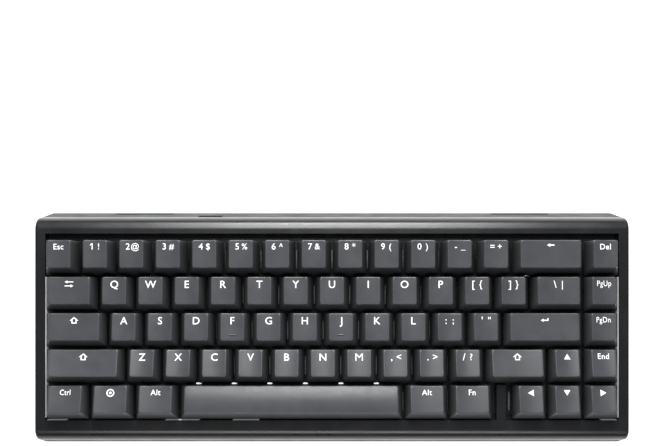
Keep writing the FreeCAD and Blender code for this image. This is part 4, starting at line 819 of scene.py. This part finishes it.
def stem_solids(row, units):
    """A switch's slider with its cross, and the stabiliser sliders beside it on a long key."""
    tip_of_cross = SHOULDER + CROSS_HEIGHT
    solids = [bored_block(3.3 * MM, 2.7 * MM, 1.6 * MM, SHOULDER, SPRING_BORE, SPRING_BORE_DEPTH),
              stem_cross(SHOULDER - 0.3 * MM, tip_of_cross)]
    for reach in stabiliser_reaches(row, units):
        solids += [moved(block(2.5 * MM, 2.5 * MM, 0.2 * MM, SHOULDER), reach, 0),
                   moved(stem_cross(SHOULDER - 0.3 * MM, tip_of_cross), reach, 0)]
    return solids


print("solids under the space bar:", len(stem_solids("space", 6.25)))

# %% [markdown]
# ## Springs that shorten
#
# Under every key a coil spring stands on the floor of the switch and pushes up inside the slider's bore.
# Its foot stays with the case while its head follows the key, so a spring that is fixed to either one
# would cut through the other when a key is pressed. A helix with a thin round wire is worked out on a grid
# and left in place on no body, so it stays still when a key is pressed.

# %% The coil
SPRING_FOOT, SPRING_HEAD = -3.8 * MM, 4.97 * MM
SPRING_RADIUS, WIRE_RADIUS, COILS = 1.925 * MM, 0.175 * MM, 4


def coil_spring(steps=72, sides=6):
    """A tube round the helix (R cos t, R sin t, foot + rise t), its rings square to the helix."""
    t = np.linspace(0, COILS * 2 * math.pi, steps)
    low, high = SPRING_FOOT + WIRE_RADIUS, SPRING_HEAD - WIRE_RADIUS
    middle = np.column_stack([SPRING_RADIUS * np.cos(t), SPRING_RADIUS * np.sin(t),
                              low + (high - low) * t / t[-1]])
    out = np.column_stack([np.cos(t), np.sin(t), np.zeros(steps)])
    along = np.gradient(middle, axis=0)
    along /= np.linalg.norm(along, axis=1, keepdims=True)
    up = np.cross(along, out)
    turn = np.linspace(0, 2 * math.pi, sides, endpoint=False)
    rings = [c + WIRE_RADIUS * (np.outer(np.cos(turn), o) - np.outer(np.sin(turn), u))
             for c, o, u in zip(middle, out, up)]
    return skin(rings, tuple(middle[0]), tuple(middle[-1]))


print("points in one spring:", len(coil_spring()[0]))

# %% Make every key
triangles = 0
for body in dict.fromkeys(key[1] for key in KEYS):
    caps, signs, stems, springs = [], [], [], []
    for row, _, units, legend, x, y in (key for key in KEYS if key[1] == body):
        caps += [moved(solid, x, y) for solid in key_solids(row, units, legend)]
        stems += [moved(solid, x, y) for solid in stem_solids(row, units)]
        springs.append(moved(coil_spring(), x, y))
        if legend:
            sign, setback = legend_sign(row, legend)
            signs.append(moved(laid_on(sign, setback, row, units), x, y))
    tag = body.removeprefix("key_")
    cap = put("keycap_" + tag, body, caps, "keycap_plastic")
    # The skirt attribute darkens each cap's walls towards the foot, a painted shade, and dulls their gloss.
    mark_skirt(cap, row)
    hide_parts(body)
    stem = put("stem_" + tag, body, stems, "slider_plastic", False)
    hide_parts(body)
    spring = put("spring_" + tag, None, springs, "spring_steel")
    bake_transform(spring)
    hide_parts("switch_springs")
    made = [cap, stem, spring]
    if signs:
        made.append(put("legend_" + tag, body, signs, "legend_plastic_and_painted_glow", False))
    triangles += sum(len(p.vertices) - 2 for piece in made for p in piece.data.polygons)
print("keys made, triangles:", triangles)

# %% [markdown]
# ## Pale glowing strips inside the opening
#
# Between the outer caps and the case a pale edge shows beside the four front rows. It is painted light
# here: thin pale strips that glow faintly line the walls of the opening, each with rounded ends, standing on
# the plate.

# %% Trim strips
OPENING_X, OPENING_FRONT = 153.0 * MM, -ROWS_HALF - 0.5 * MM
TRIM = 0.32 * MM


def strip(x, y, half_x, half_y):
    """A thin upright wall with softened edges, from just over the plate to just under the rim."""
    return moved(block(half_x, half_y, 0.25 * MM, 4.7 * MM, 0.14 * MM), x, y)


side_x = OPENING_X - TRIM / 2 - 0.02 * MM
front_y = OPENING_FRONT + TRIM / 2 + 0.02 * MM
side_rows = (-46.6 * MM, 28.4 * MM)
middle_y, half_y = sum(side_rows) / 2, (side_rows[1] - side_rows[0]) / 2
trims = [strip(side * side_x, middle_y, TRIM / 2, half_y) for side in (-1, 1)]
trims += [strip(x * MM, front_y, half * MM, TRIM / 2)
          for x, half in ((-80, 9), (-46, 7), (148, 4), (-147, 5))]
# The strips glow faintly: painted light.
put("opening_glow_strips", "case", trims, "trim_plastic")
print("trim strips:", len(trims))

# %% [markdown]
# ## Painted light between the keys
#
# The lamps under the caps leak a faint line of light into the gaps, and here it is painted: a low rib that
# glows faintly stands on the plate between each pair of neighbouring switches, and a few small windows that
# glow brightly stand in the gap between the fourth row and the space bar.

# %% Ribs and windows on the plate
RIB_HALF, RIB_LENGTH = 0.3 * MM, 5.0 * MM
ribs, windows = [], []
for row in LAYOUT:
    places = [(x - units / 2 * PITCH, y) for name, _, units, _, x, y in KEYS if name == row]
    for x, y in places[1:]:
        ribs.append(moved(block(RIB_HALF, RIB_LENGTH, 0.05 * MM, 0.6 * MM, 0.3 * MM), x, y))
        if row == "lower" and -75 * MM < x < 30 * MM:
            windows.append(moved(block(1.3 * MM, 0.35 * MM, 0.05 * MM, 3.0 * MM, 0.3 * MM), x, y - PITCH / 2))
put("light_ribs", "case", ribs, "painted_rib_glow")
put("light_windows", "case", windows, "spark_plastic")
print("ribs:", len(ribs), "windows:", len(windows))

# %% [markdown]
# ## Light, floor and camera
#
# The keyboard stands on white. One softbox hangs behind and above it: the tops lean to the back, so the
# front rows mirror more of it than the back row. A second, lower one behind puts the bright line on the
# rear edge of the case, and a wide strip in front lights the front rim. The sky gives a low, even fill, so
# that the gaps between the caps stay nearly black.

# %% Floor
floor_half = 3.0
floor_mesh = bpy.data.meshes.new("floor")
floor_z = cad_box[0][2]
floor_mesh.from_pydata([(-floor_half, -floor_half, floor_z), (floor_half, -floor_half, floor_z),
                        (floor_half, floor_half, floor_z), (-floor_half, floor_half, floor_z)],
                       [], [(0, 1, 2, 3)])
floor_mesh.materials.append(finish("studio_floor", grey(0.6), grey(0.62), (0.8, 0.9), 3, 300, 0.0,
                                   Emission_Color=WHITE, Emission_Strength=0.9))
floor = bpy.data.objects.new("floor", floor_mesh)
bpy.context.scene.collection.objects.link(floor)
print("floor at z in mm:", round(floor_z / MM, 2))


# %% Lights
def softbox(name, place, target, width, height, watts):
    """A rectangular lamp at a place, its face turned to a target."""
    lamp = bpy.data.lights.new(name, "AREA")
    lamp.shape, lamp.size, lamp.size_y, lamp.energy = "RECTANGLE", width, height, watts
    thing = bpy.data.objects.new(name, lamp)
    bpy.context.scene.collection.objects.link(thing)
    thing.location = place
    away = np.asarray(place) - np.asarray(target)
    flat = math.hypot(away[0], away[1])
    thing.rotation_euler = (math.atan2(flat, away[2]), 0, math.atan2(away[0], -away[1]))
    return thing


aim = (0, 0, 0.02)
softbox("back_softbox", (0.0, 0.46, 0.8), aim, 0.42, 0.42, 8.6)
softbox("back_strip", (0.0, 0.78, 0.55), aim, 0.42, 0.24, 8.5)
softbox("front_strip", (0.0, -0.62, 0.7), aim, 0.7, 0.25, 3.4)
world = bpy.data.worlds.new("studio")
bpy.context.scene.world = world
world.use_nodes = True
world.node_tree.nodes["Background"].inputs["Color"].default_value = (1, 1, 1, 1)
world.node_tree.nodes["Background"].inputs["Strength"].default_value = 0.1
bpy.context.scene.view_settings.view_transform = "Standard"

# %% Camera
camera = bpy.data.objects.new("camera", bpy.data.cameras.new("camera"))
bpy.context.scene.collection.objects.link(camera)
camera.location = tip((0, 0.85 * MM, 500 * MM))
camera.rotation_euler = (SLOPE, 0, 0)
camera.data.sensor_width, camera.data.lens = 36, 50.85
camera.data.shift_x, camera.data.shift_y = -0.0053, 0.1606
camera.data.clip_start = 0.01
bpy.context.scene.camera = camera
print("camera height in mm:", round(camera.location.z / MM))
